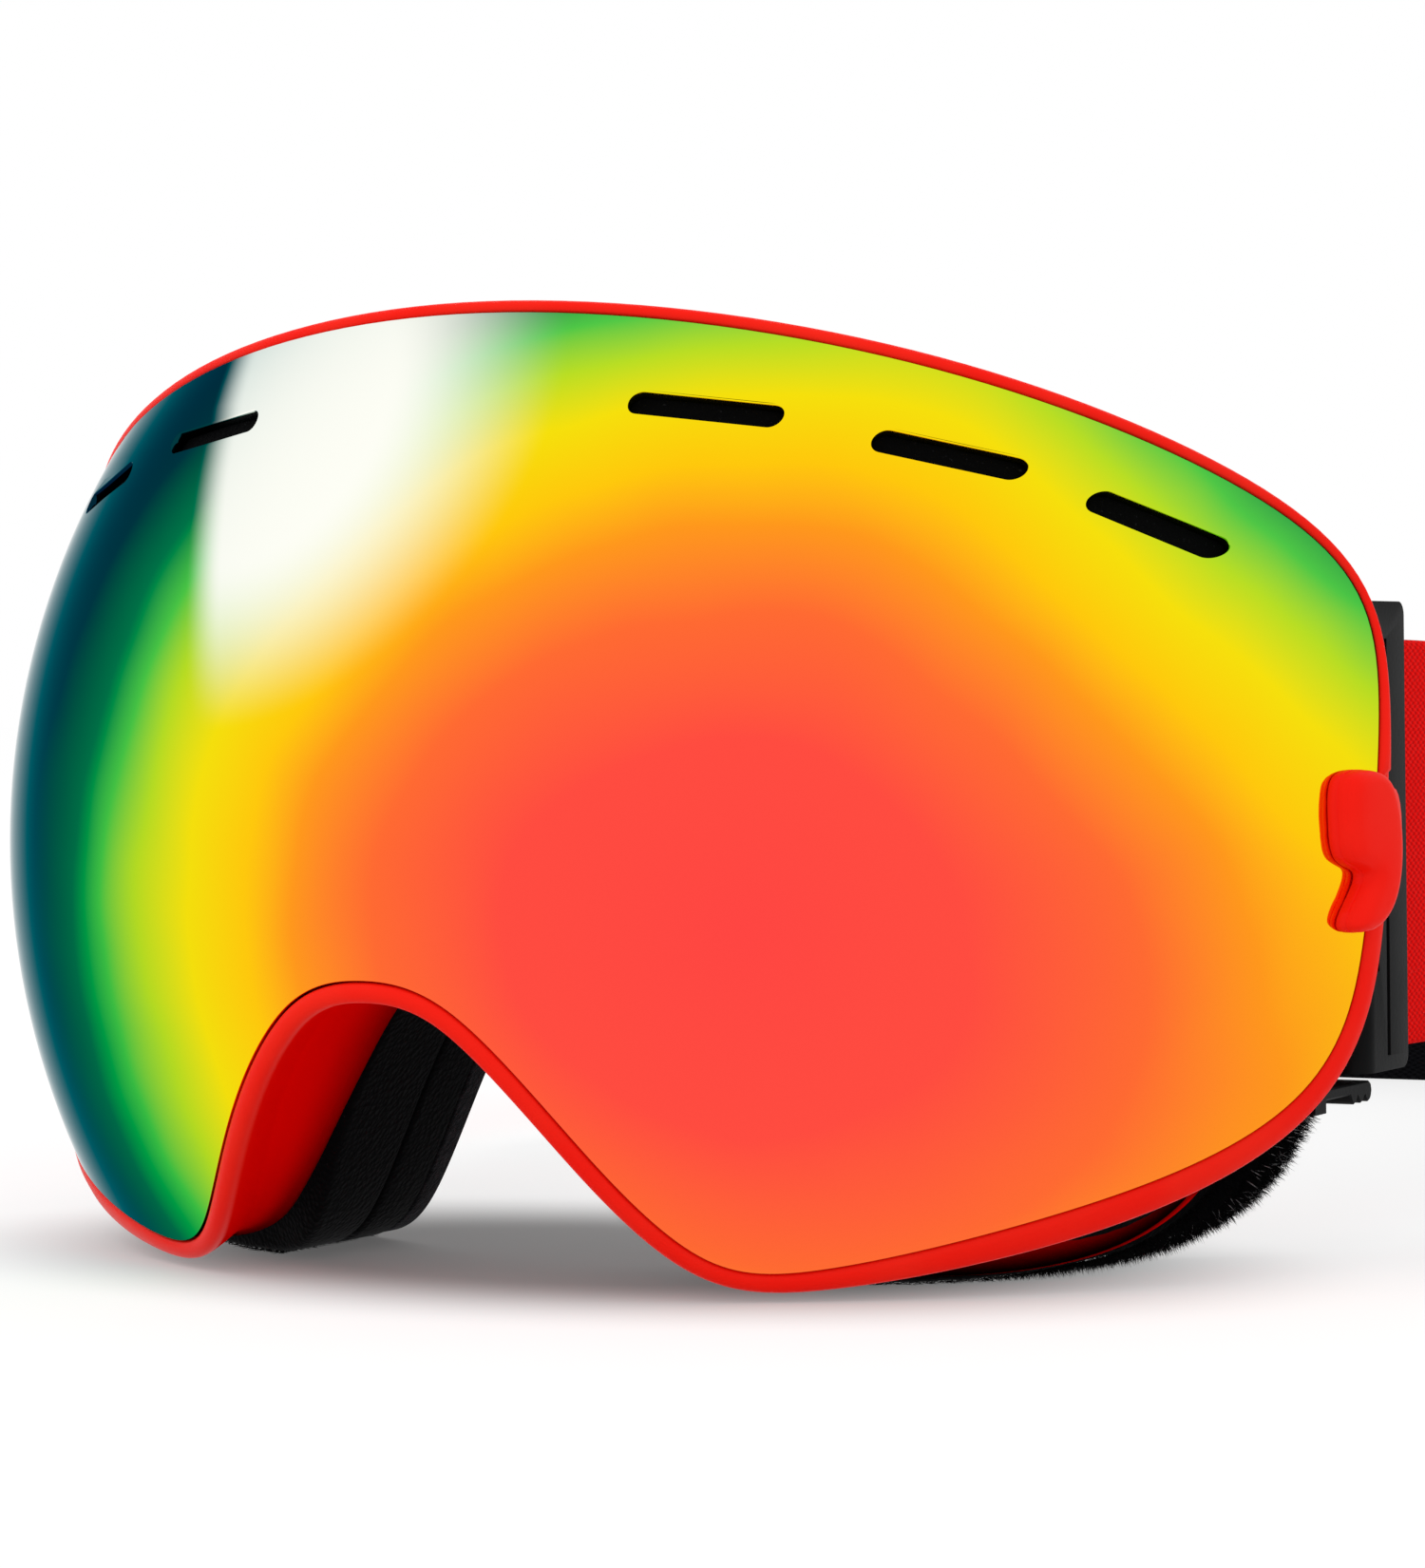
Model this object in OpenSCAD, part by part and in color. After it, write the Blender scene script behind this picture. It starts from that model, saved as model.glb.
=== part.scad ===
// Ski goggles with a spherical mirrored lens that comes off forwards, two side latches with
// release tabs, hinged outriggers and an elastic strap with two adjusters.
// +Z is up, the lens looks along -Y and +X is the wearer's left. While the pieces are made, the front of
// the lens is at y = 0 and the centre of its sphere at z = 0; stand() then sets the whole on a table.

/* [Lens] */
// Radius of the outer lens, outer face
lens_r = 89.7; // [88:0.1:105]
// Thickness of the outer lens
lens_t = 1.4; // [1:0.1:2]
// Air space between the outer and the inner lens
lens_gap = 5.8; // [4:0.1:7]
// Thickness of the inner lens
inner_t = 0.9; // [0.6:0.1:1.4]
// Distance of the inner lens from the edge of the outer one
inner_inset = 10; // [8:0.5:14]
// Further distance at the brow, below the vent slots
inner_brow_drop = 5; // [4:0.5:10]
// Width of the gasket between the lenses
gasket_w = 3.5; // [2:0.5:5]
// Glue line on each face of the gasket and the pads
glue_t = 0.05; // [0.02:0.01:0.2]

/* [Lens outline, half, from the sphere's centre as x and z] */
// Height of the nose arch on the middle line
nose_peak_z = -10.7; // [-16:0.1:-6]
// Shoulder of the nose arch
nose_shoulder = [9.7, -12.2];
// Flank of the nose arch
nose_flank = [20.1, -25];
// Lobe beside the nose, inner side
lobe_inner = [29.9, -40.8];
// Lobe beside the nose, outer side
lobe_outer = [38.7, -42.3];
// Middle of the lower edge
sill_mid = [63.6, -35.9];
// Cheek corner
cheek = [80.2, -27.8];
// Side, below the latch
side_low = [85.6, -10.6];
// Side, above the latch
side_high = [86, 21.5];
// Temple corner
temple = [77.8, 38];
// Brow, half way out
brow_mid = [47.6, 53.2];
// Height of the brow on the middle line
brow_peak_z = 59.9; // [52:0.1:66]

/* [Vent slots in the lens] */
// Height of a slot, seen from the front
slot_h = 2.3; // [2:0.1:4]
// Length of a slot along the lens
slot_len = 16; // [10:0.5:18]
// Distances of the slots' centres from the middle line
slot_x = [30.5, 52.7, 69.3];
// Distances of the slots' centres from the lens edge
slot_inset = [8.5, 7.4, 5.9];
// How far each slot falls outwards, in degrees
slot_fall = [7.6, 15.2, 29.5];
// Thickness of the filter pads behind the slots
pad_t = 3; // [1:0.5:4]
// Margin of the pads round the slots
pad_margin = 0.8; // [0.4:0.1:1.5]

/* [Frame] */
// Width of the rim at the nose and the lobes
rim_nose_w = 2.4; // [1.2:0.1:3]
// Width of the rim at the lower edge
rim_sill_w = 4.2; // [1.2:0.1:5]
// Width of the rim at the cheek corner
rim_cheek_w = 3; // [1.2:0.1:4]
// Width of the rim at the side, below the latch
rim_side_w = 3.4; // [1.2:0.1:4]
// Width of the rim from the temple to the brow
rim_brow_w = 1.3; // [1.1:0.1:2.5]
// Gap round the lens edge
lens_clear = 0.25; // [0.15:0.05:0.5]
// Gap behind the lens, on its seat
seat_clear = 0.4; // [0.3:0.05:0.6]
// Width of the seat behind the lens
seat_w = 4.5; // [3:0.1:5]
// Thickness of the seat
seat_t = 2; // [1.5:0.1:3]
// How far the rim goes on behind the lens
rim_back = 3.2; // [2.5:0.1:5]
// Thickness of the frame's wall
wall_t = 2.3; // [1.8:0.1:3]
// Width of the flange that the face foam is glued to
flange_w = 5.5; // [4:0.1:7]
// Thickness of that flange
flange_t = 2; // [1.5:0.1:3]
// Depth of the rail along the flange's outer edge
rail_d = 2.5; // [2:0.1:4]
// Depth of the frame at the nose, from the front of the lens
nose_depth = 26; // [22:0.5:32]
// How much shallower the frame's wall is in the nose arch, where the foam is thicker
nose_cut = 5.5; // [0:0.5:7]
// Further depth of the frame at the brow
brow_set = 4; // [2:0.5:8]

/* [Face outline, half, from the sphere's centre as x and z] */
// Height of the nose arch on the middle line
face_nose_peak_z = -10.5; // [-15:0.1:-6]
// Shoulder of the nose arch
face_nose_shoulder = [7.5, -12.5];
// Flank of the nose arch
face_nose_flank = [15.5, -26];
// Lobe beside the nose, inner side
face_lobe_inner = [25.5, -37.6];
// Lobe beside the nose, outer side
face_lobe_outer = [35.5, -42.8];
// Middle of the lower edge
face_sill = [58.7, -43.9];
// Cheek corner
face_cheek = [67.5, -36];
// Side, low
face_side_low = [70.5, -12];
// Side, high
face_side_high = [71, 18];
// Temple corner
face_temple = [65.5, 34];
// Brow, half way out
face_brow = [41, 47.5];
// Height of the brow on the middle line
face_brow_peak_z = 53.5; // [48:0.1:58]
// Radius of the wearer's face across the nose
face_r = 95; // [85:1:120]
// How much more the face curves back at the temples
temple_wrap = 0.85; // [0.6:0.05:1.2]

/* [Face foam] */
// Thickness of the firm base layer
foam_base_t = 8; // [5:0.5:12]
// Thickness of the soft middle layer
foam_soft_t = 8; // [5:0.5:12]
// Thickness of the fleece layer
fleece_t = 3.5; // [2:0.5:5]
// Lobe of the foam beside the nose, inner side, from the sphere's centre as x and z
foam_lobe_inner = [24, -42.8];
// Lobe of the foam beside the nose, outer side
foam_lobe_outer = [33.5, -44];
// Width of the foam
foam_w = 9; // [7:0.5:11]
// How far the foam swells past the frame
foam_swell = 0.5; // [0.2:0.1:1]
// Thickness of the adhesive tape in front of each layer
tape_t = 0.3; // [0.2:0.05:0.6]

/* [Outriggers] */
// Height of an outrigger
outrigger_h = 50.2; // [46:0.2:60]
// Height of its middle above the lens centre
outrigger_z = 1.2; // [-4:0.1:6]
// Length behind the hinge pin
outrigger_len = 9.6; // [8:0.1:14]
// Thickness of its plate
outrigger_t = 2.6; // [2:0.1:4]
// Radius of its rear corners
outrigger_corner_r = 1.5; // [1:0.5:6]
// Radius of the hinge knuckles
knuckle_r = 2.4; // [2:0.1:3.5]
// Diameter of the hinge pins
hinge_pin_d = 2; // [1.5:0.1:2.4]
// Height of each frame lug on the hinge
lug_h = 6; // [4:0.5:8]
// Distance between the two lugs, middle to middle
lug_pitch = 22; // [16:1:26]
// Radius of the bar that the strap goes round
strap_bar_r = 1.3; // [1:0.1:1.6]

/* [Strap] */
// Width of the elastic band
strap_w = 44.6; // [36:0.2:46]
// Thickness of the elastic band
strap_t = 1.6; // [1.2:0.1:2]
// Depth of the whole goggles with the strap
loop_depth = 288; // [250:1:340]
// Gap between the face foam and the strap
strap_gap = 1.2; // [0.8:0.1:4]
// Where the adjuster sits behind the outrigger's strap joint
slider_at = 62; // [50:1:70]
// Length of an adjuster along the strap
slider_len = 16; // [12:0.5:22]
// Width of the silicone grip beads inside the strap
bead_w = 2.2; // [1:0.1:4]
// Thickness of the grip beads
bead_t = 0.5; // [0.3:0.1:1]
// Glue line between the beads and the band
bead_gap = 0.25; // [0.15:0.05:0.4]
// Number of grip beads
bead_count = 3; // [2:1:5]

/* [Latches] */
// How far the latch reaches over the lens from its edge
latch_reach = 8.6; // [7:0.1:10]
// Thickness of the latch over the lens
latch_t = 2.2; // [1.8:0.1:3]
// Gap between the latch and the lens
latch_clear = 0.4; // [0.3:0.05:0.8]
// Outline of the latch's head seen from the side: y from its tip, and z from the lens centre
latch_outline = [[-0.2, 3.4], [0.2, 8.2], [4.2, 8.9], [7.6, 8.2], [8.8, 3], [7.2, -2.6], [4.6, -8.6],
    [1.2, -9.2], [0.6, -6.6], [3.9, -2], [0.2, -1.4]];
// Lowest point of the arm behind the latch's head
latch_arm_z = -1.5; // [-2.5:0.1:0]
// Height of that arm
latch_arm_h = 8.5; // [6:0.1:9]
// Outline of that arm seen from the side: y as a share of the reach, and z as a share of its height
latch_arm_outline = [[0.4, 0], [0.4, 1], [1.1, 1.02], [1.52, 0.9], [1.78, 0.5], [1.52, 0.1], [1.1, -0.02]];
// Diameter of the latch pins
latch_pin_d = 1.4; // [1:0.1:1.6]
// Radius of the latch knuckle
latch_knuckle_r = 1.5; // [1.4:0.1:2]
// Width of a release tab
tab_w = 3.6; // [3:0.2:5]
// Thickness of a release tab
tab_t = 1.9; // [1.5:0.1:2.2]
// Height of the release tabs' middle, from the lower end of the outrigger
tab_z = -2.05; // [-2.7:0.05:-1.9]
// How far a release tab ends in front of the outrigger's rear edge
tab_short = 6.4; // [4:0.2:10]
// Travel of a release tab
tab_travel = 3; // [2:0.5:3.5]

/* [Fits] */
// Running gap between pieces that move past each other
run_clear = 0.35; // [0.3:0.05:0.6]
// Running gap of a pin in its bore, on the radius
pin_clear = 0.08; // [0.04:0.02:0.2]

/* [Hidden] */
$fn = 96;

red = [0.98, 0.17, 0.10];
black = [0.13, 0.13, 0.13];
steel = [0.7, 0.7, 0.72];

// Curves: a closed uniform cubic B-spline through half a control polygon and its mirror image
span_n = 4;
function mirrored(half) = concat(half, [for (i = [len(half) - 2 : -1 : 1]) [-half[i].x, half[i].y]]);
function knots(c, i) = let (m = len(c)) [c[(i + m - 1) % m], c[i], c[(i + 1) % m], c[(i + 2) % m]];
function mixed(q, w) = q[0] * w[0] + q[1] * w[1] + q[2] * w[2] + q[3] * w[3];
function curve_at(q, u) = mixed(q, [pow(1 - u, 3), 3 * u * u * u - 6 * u * u + 4,
    -3 * u * u * u + 3 * u * u + 3 * u + 1, u * u * u]) / 6;
function slope_at(q, u) = mixed(q, [-pow(1 - u, 2), 3 * u * u - 4 * u, -3 * u * u + 2 * u + 1, u * u]) / 2;
function unit(v) = v / norm(v);
function right_of(t) = unit([t.y, -t.x]);
function curve(c) = [for (i = [0 : len(c) - 1]) for (k = [0 : span_n - 1]) curve_at(knots(c, i), k / span_n)];
function outward(c) = [for (i = [0 : len(c) - 1]) for (k = [0 : span_n - 1])
    right_of(slope_at(knots(c, i), k / span_n))];
// A control polygon moved inwards, each point by its own amount along the mean normal of its sides
function drawn_in(c, by) = let (m = len(c)) [for (i = [0 : m - 1])
    c[i] - by[i] * unit(right_of(c[i] - c[(i + m - 1) % m]) + right_of(c[(i + 1) % m] - c[i]))];
function ease(t) = let (u = min(max(t, 0), 1)) u * u * (3 - 2 * u);

// Both outlines are drawn for a lens of one radius, and grow and shrink with it
drawn_r = 89.7;
scale_k = lens_r / drawn_r;
lens_ctrl = mirrored(scale_k * [[0, nose_peak_z], nose_shoulder, nose_flank, lobe_inner, lobe_outer, sill_mid,
    cheek, side_low, side_high, temple, brow_mid, [0, brow_peak_z]]);
function face_half(lobe_in, lobe_out) = scale_k * [[0, face_nose_peak_z], face_nose_shoulder, face_nose_flank,
    lobe_in, lobe_out, face_sill, face_cheek, face_side_low, face_side_high, face_temple, face_brow,
    [0, face_brow_peak_z]];
face_ctrl = mirrored(face_half(face_lobe_inner, face_lobe_outer));
foam_ctrl = mirrored(face_half(foam_lobe_inner, foam_lobe_outer));
lens_edge = curve(lens_ctrl);
lens_out = outward(lens_ctrl);
face_edge = curve(face_ctrl);
face_out = outward(face_ctrl);
foam_edge = curve(foam_ctrl);
foam_out = outward(foam_ctrl);
ring_n = len(lens_edge);
function brow_share(z) = ease((z / scale_k - nose_peak_z) / (brow_peak_z - nose_peak_z));
inner_ctrl = drawn_in(lens_ctrl, [for (p = lens_ctrl) inner_inset + inner_brow_drop * brow_share(p.y)]);
gasket_ctrl = drawn_in(inner_ctrl, [for (p = inner_ctrl) gasket_w]);

// Depths: the front of the lens, and the back of the frame on the face
function sphere_y(p, r) = lens_r - sqrt(max(r * r - p.x * p.x - p.y * p.y, 1));
face_x = max([for (p = face_edge) p.x]);
function face_sag(x) = x * x / (2 * face_r) * (1 + temple_wrap * pow(x / face_x, 4));
function foam_y(p) = nose_depth + face_sag(p.x) + brow_set * brow_share(p.y);
// The nose arch, where the wall is shallower: all of it inside nose_reach[0], none beyond nose_reach[1]
nose_reach = [14, 36];
function nose_share(p) = (1 - ease((abs(p.x) - nose_reach[0]) / (nose_reach[1] - nose_reach[0])))
    * (p.y < 0 ? 1 : 0);
function frame_y(p) = foam_y(p) - nose_cut * nose_share(p);

// Rings of points round the goggles, one for each corner of the frame's section. On the rim they are placed
// by d, away from the lens edge along its surface, and h, out of that surface
centre = [0, lens_r, 0];
edge3 = [for (p = lens_edge) [p.x, sphere_y(p, lens_r), p.y]];
edge_up = [for (q = edge3) unit(q - centre)];
edge_on = [for (i = [0 : ring_n - 1])
    unit(cross(edge3[(i + 1) % ring_n] - edge3[(i + ring_n - 1) % ring_n], edge_up[i]))];
function even(half) = concat(half, [for (i = [len(half) - 2 : -1 : 1]) half[i]]);
rim_w = curve(even([rim_nose_w, rim_nose_w, rim_nose_w, rim_nose_w, rim_nose_w, rim_sill_w, rim_cheek_w,
    rim_side_w, rim_brow_w, rim_brow_w, rim_brow_w, rim_brow_w]));
function rim_ring(d, h) = [for (i = [0 : ring_n - 1])
    edge3[i] + (is_list(d) ? d[i] : d) * edge_on[i] + h * edge_up[i]];
function face_ring(off, y) = [for (i = [0 : ring_n - 1]) let (p = face_edge[i] + off * face_out[i])
    [p.x, y[i], p.y]];
function more(list, by) = [for (v = list) v + by];
// Points on straight rulings from the face outline to the inner side of the foam
foam_inner = curve(drawn_in(face_ctrl, [for (p = face_ctrl) foam_w]));
function inner_ring(share, y) = [for (i = [0 : ring_n - 1])
    let (p = foam_inner[i] * share + face_edge[i] * (1 - share)) [p.x, y[i], p.y]];
back_y = [for (p = face_edge) frame_y(p)];
face_y = [for (p = face_edge) foam_y(p)];
function foam_ring(off, y) = [for (i = [0 : ring_n - 1]) let (p = foam_edge[i] + off * foam_out[i])
    [p.x, y[i], p.y]];
function foam_ruling(share, y) = [for (i = [0 : ring_n - 1])
    let (p = foam_inner[i] * share + foam_edge[i] * (1 - share)) [p.x, y[i], p.y]];
rim_proud = 0.3;
rim_round = 0.9;
rim_tuck = 0.3;
seat_h = -lens_t - seat_clear;
rim_back_ring = rim_ring(more(rim_w, -rim_tuck), seat_h - rim_back);
rail_ring = face_ring(0, more(back_y, -rail_d));
frame_rings = [
    rim_ring(lens_clear, -rim_proud / 3),
    rim_ring(rim_w / 2, rim_proud),
    rim_ring(more(rim_w, -rim_tuck), 0),
    rim_ring(rim_w, -rim_round),
    rim_back_ring,
    rail_ring,
    face_ring(0, back_y),
    inner_ring(flange_w / foam_w, back_y),
    inner_ring(flange_w / foam_w, more(back_y, -flange_t)),
    face_ring(-wall_t, more(back_y, -rail_d - wall_t)),
    rim_ring(-wall_t, seat_h - seat_t),
    rim_ring(-seat_w, seat_h - seat_t),
    rim_ring(-seat_w, seat_h),
    rim_ring(lens_clear, seat_h)];

// Side hardware: everything is placed from the foam outwards and from the frame's back wall backwards
strap_in_x = face_x + foam_swell + strap_gap;
bar_gap = 0.1;
bar_x = strap_in_x + strap_t + bar_gap + strap_bar_r;
strap_x = bar_x + strap_bar_r + bar_gap + strap_t / 2;
tail_x = bar_x - strap_bar_r - bar_gap - strap_t / 2;
plate_in_x = strap_x + strap_t / 2 + run_clear;
plate_out_x = plate_in_x + outrigger_t;
pin_x = plate_out_x - knuckle_r;
// The back wall is a straight loft from the rim to the rail: its depth at a distance x out, beside the hinge
function wall_y(i, x) = let (a = rim_back_ring[i], b = rail_ring[i])
    a.y + (b.y - a.y) * min(max((a.x - x) / (a.x - b.x), 0), 1);
function beside(i) = abs(rim_back_ring[i].z - outrigger_z) < outrigger_h / 2 + 2;
side_points = [for (i = [0 : ring_n / 2 - 1]) if (beside(i) && lens_edge[i].x > face_x) i];
wall_back_y = max([for (i = side_points) wall_y(i, pin_x - knuckle_r)]);
// Points of the ring beside the latch, and at the cheek corner
function side_at(z) = let (d = [for (i = side_points) abs(lens_edge[i].y - z)])
    side_points[search(min(d), d)[0]];
side_i = side_at(latch_arm_z + latch_arm_h / 2);
cheek_i = 6 * span_n;
pin_y = wall_back_y + run_clear + knuckle_r;
plate_back_y = pin_y + outrigger_len;
bar_y = plate_back_y - strap_bar_r - bar_gap - strap_t;
lug_z = [outrigger_z - lug_pitch / 2, outrigger_z + lug_pitch / 2];

// Strap: a straight run from each outrigger, then half a circle behind the head, sinking to the table
strap_r = strap_x;
joint_r = norm([pin_x - tail_x, bar_y - pin_y]) + strap_t + 1.2;
strap_start_y = pin_y + joint_r + run_clear;
arc_y = loop_depth - strap_r - strap_t / 2;
run_len = arc_y - strap_start_y;
half_len = run_len + 90 * strap_r * PI / 180;
floor_z = min(min([for (p = frame_rings[3]) p.z]), min([for (p = foam_edge) p.y]) - foam_swell);
strap_drop = -floor_z - strap_w / 2;
function sink(s) = -strap_drop * (1 - cos(180 * s / half_len)) / 2;
function strap_at(s, in = 0) = s < run_len
    ? [strap_x - in, strap_start_y + s, sink(s)]
    : s > 2 * half_len - run_len
        ? [in - strap_x, strap_start_y + 2 * half_len - s, sink(s)]
        : let (a = (s - run_len) / strap_r * 180 / PI)
            [(strap_r - in) * cos(a), arc_y + (strap_r - in) * sin(a), sink(s)];
slider_y = strap_start_y + slider_at;
function tilt_at(s) = atan2(sink(s + 1) - sink(s - 1), 2);
slider_tilt = tilt_at(slider_at);

// A closed solid from rings of points: each ring goes round the goggles, and they go round the section
module ring_solid(rings) {
    m = len(rings);
    n = len(rings[0]);
    polyhedron([for (r = rings) each r], [for (j = [0 : m - 1]) for (i = [0 : n - 1])
        let (a = j * n + i, b = j * n + (i + 1) % n,
            c = (j + 1) % m * n + (i + 1) % n, d = (j + 1) % m * n + i)
        each [[a, b, c], [a, c, d]]]);
}

// A closed solid from a row of sections with the same number of corners, and flat ends
module row_solid(rows) {
    m = len(rows);
    n = len(rows[0]);
    polyhedron([for (r = rows) each r], concat(
        [for (j = [0 : m - 2]) for (i = [0 : n - 1])
            let (a = j * n + i, b = j * n + (i + 1) % n, c = (j + 1) * n + (i + 1) % n, d = (j + 1) * n + i)
            each [[a, c, b], [a, d, c]]],
        [for (i = [1 : n - 2]) [0, i, i + 1]],
        [for (i = [1 : n - 2]) let (e = (m - 1) * n) [e, e + i + 1, e + i]]));
}

// A flat band along a row of points, its width across the path. Where no direction is given for the width, the
// thickness lies level. lift shifts the band sideways, along its width
module band(path, width, thick, lift = 0, across = []) {
    m = len(path);
    row_solid([for (k = [0 : m - 1])
        let (t = unit(path[min(k + 1, m - 1)] - path[max(k - 1, 0)]),
            n = len(across) > 0 ? unit(cross(t, across[k])) : unit([t.y, -t.x, 0]),
            w = len(across) > 0 ? across[k] : cross(n, t))
        [for (c = [[1, 1], [1, -1], [-1, -1], [-1, 1]])
            path[k] + c[0] * thick / 2 * n + (lift + c[1] * width / 2) * w]]);
}

module stand() translate([0, -loop_depth / 2, -floor_z]) children();
module side(s) if (s > 0) children(); else mirror([1, 0, 0]) children();
module both() for (s = [1, -1]) side(s) children();
// Turns a flat shape drawn in x and z so that it is pushed out along Y, from y0 to y1
module along_y(y0, y1) translate([0, y1, 0]) rotate([90, 0, 0]) linear_extrude(y1 - y0) children();
// Turns a flat shape drawn in y and z so that it is pushed out along X, from x0 to x1
module along_x(x0, x1) translate([x0, 0, 0]) rotate([90, 0, 90]) linear_extrude(x1 - x0) children();
module along_z(z0, z1) translate([0, 0, z0]) linear_extrude(z1 - z0) children();

// A cone from the centre of the lens through an outline on it, so that the lens is cut square to its surface
cone_reach = 1.25;
cone_front = [0, -1.55, 0.4];
function on_cone(p) = centre + cone_reach * ([p.x, sphere_y(p, lens_r), p.y] - centre);
module cone_through(outline, tip) {
    n = len(outline);
    polyhedron(concat([for (p = outline) on_cone(p)], [centre, tip]),
        [for (i = [0 : n - 1]) let (j = (i + 1) % n) each [[i, j, n], [j, i, n + 1]]]);
}

// A hollow sphere round the lens centre, and a slice of one, seen from the front through a flat shape
module hollow_sphere(outer, inner) translate(centre) difference() {
    sphere(outer);
    sphere(inner);
}
module sphere_slice(outer, inner) intersection() {
    hollow_sphere(outer, inner);
    along_y(-1, lens_r) children();
}

// Slots in the brow of the lens, each at its distance from the lens edge and foreshortened by its slope
function slot_line(inset) = [for (i = [0 : ring_n - 1]) lens_edge[i] - inset * lens_out[i]];
function nearest(line, x) = let (d = [for (p = line) abs(p.x - x) + (p.y > 0 ? 0 : lens_r)])
    search(min(d), d)[0];
function slot_centre(line, x) = let (i = nearest(line, x), t = [lens_out[i].y, -lens_out[i].x])
    line[i] + (x - line[i].x) * t / t.x;
slot_step = 15;
function slot_outline(c, fall, margin) = let (along = [cos(fall), -sin(fall)], up = [-along.y, along.x],
    slope = c * along / sqrt(lens_r * lens_r - c * c),
    half = (slot_len / sqrt(1 + slope * slope) - slot_h) / 2, r = slot_h / 2 + margin)
    [for (e = [1, -1]) for (a = [-90 : slot_step : 90])
        c + e * ((half + r * cos(a)) * along + r * sin(a) * up)];
module slot_cones(margin) both() for (k = [0 : len(slot_x) - 1]) {
    c = slot_centre(slot_line(slot_inset[k]), scale_k * slot_x[k]);
    cone_through(slot_outline(c, slot_fall[k], margin), on_cone(c));
}

module outer_lens() color([0.95, 0.35, 0.2]) difference() {
    intersection() {
        hollow_sphere(lens_r, lens_r - lens_t);
        cone_through(lens_edge, centre + lens_r * cone_front);
    }
    slot_cones(0);
}

inner_r = lens_r - lens_t - lens_gap;
module inner_lens() color([0.75, 0.8, 0.8])
    sphere_slice(inner_r, inner_r - inner_t) polygon(curve(inner_ctrl));

module lens_gasket() color(black) sphere_slice(lens_r - lens_t - glue_t, inner_r + glue_t) difference() {
    polygon(curve(inner_ctrl));
    polygon(curve(gasket_ctrl));
}

module lens_vent_pads() color(black) intersection() {
    hollow_sphere(lens_r - lens_t - glue_t, lens_r - lens_t - glue_t - pad_t);
    slot_cones(pad_margin);
}

// Windows in the wall between the rim and the rail, counted in points of the ring from the nose, and the
// share of the wall, from the rim to the rail, where they start and end
sill_windows = [[16, 19], [20, 23]];
brow_windows = [[38, 40], [41, 43], [45, 47], [48, 50]];
sill_open = [0.1, 0.52];
brow_open = [0.3, 0.78];
function wall_point(i, s) = rim_back_ring[i] * (1 - s) + rail_ring[i] * s;
function wall_normal(i) = unit(cross(rail_ring[i] - rim_back_ring[i],
    rim_back_ring[(i + 1) % ring_n] - rim_back_ring[i - 1]));
function wall_rows(span, s0, s1, low, high) = [for (i = [span[0] : span[1]]) let (n = wall_normal(i))
    [wall_point(i, s0) + low * n, wall_point(i, s0) + high * n,
        wall_point(i, s1) + high * n, wall_point(i, s1) + low * n]];
module wall_strip(span, s0, s1, low, high) row_solid(wall_rows(span, s0, s1, low, high));
// The post between the two windows of a sill stands back from the outside of the wall
post = [sill_windows[0][1] - 1, sill_windows[1][0] + 1];
post_back = 0.55;

module frame_shell() color(red) difference() {
    union() {
        ring_solid(frame_rings);
        both() {
            for (z = lug_z) along_z(z - lug_h / 2, z + lug_h / 2)
                lug([pin_x, pin_y], hinge_root(z), knuckle_r);
            for (z = latch_lug_z) along_z(z, z + latch_lug_h)
                lug(latch_pin, latch_root(z + latch_lug_h / 2), latch_knuckle_r);
            tab_sleeve();
        }
    }
    for (w = brow_windows) wall_strip(w, brow_open[0], brow_open[1], -2 * wall_t, wall_t);
    both() {
        for (w = sill_windows) wall_strip(w, sill_open[0], sill_open[1], -2 * wall_t, wall_t);
        wall_strip(post, sill_open[0], sill_open[1], -post_back * wall_t, wall_t);
        translate([pin_x, pin_y, outrigger_z]) cylinder(d = hinge_pin_d, h = outrigger_h, center = true);
        translate([latch_pin.x, latch_pin.y, latch_lug_z[0] - 1])
            cylinder(d = latch_pin_d, h = latch_lug_z[1] - latch_lug_z[0] + latch_lug_h + 2);
        along_z(latch_arm_z - 0.9 * run_clear, latch_arm_z + latch_arm_h + 0.9 * run_clear) latch_notch();
        tab_channel();
    }
}

// A lug from the frame to a hinge pin, drawn from above: an eye on an arm that starts inside the wall
module lug(eye, root, r) translate(eye) {
    circle(r);
    rotate(atan2(root.y - eye.y, root.x - eye.x)) translate([0, -r]) square([norm(root - eye), 2 * r]);
}
function hinge_root(z) = let (x = pin_x - knuckle_r) [x, wall_y(side_at(z), x) - wall_t / 2];

// Guide of the release tab: a sleeve behind the rim at the cheek, closed at its front end, and the channel
// through it that the tab slides in
guide_wall = 0.8;
guide_len = 6;
tab_x = pin_x - 1.9;
tab_mid_z = outrigger_z - outrigger_h / 2 + tab_z;
guide_y = rim_back_ring[cheek_i].y - 1;
channel_w = tab_w + 2 * run_clear;
channel_h = tab_t + 2 * run_clear;
channel_y = guide_y + guide_wall;
tab_back_y = plate_back_y - tab_short;
module tab_sleeve() translate([tab_x, guide_y + guide_len / 2, tab_mid_z])
    cube([channel_w + 2 * guide_wall, guide_len, channel_h + 2 * guide_wall], center = true);
module tab_channel() translate([tab_x - channel_w / 2, channel_y, tab_mid_z - channel_h / 2])
    cube([channel_w, tab_back_y + tab_travel - channel_y, channel_h]);

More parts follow.
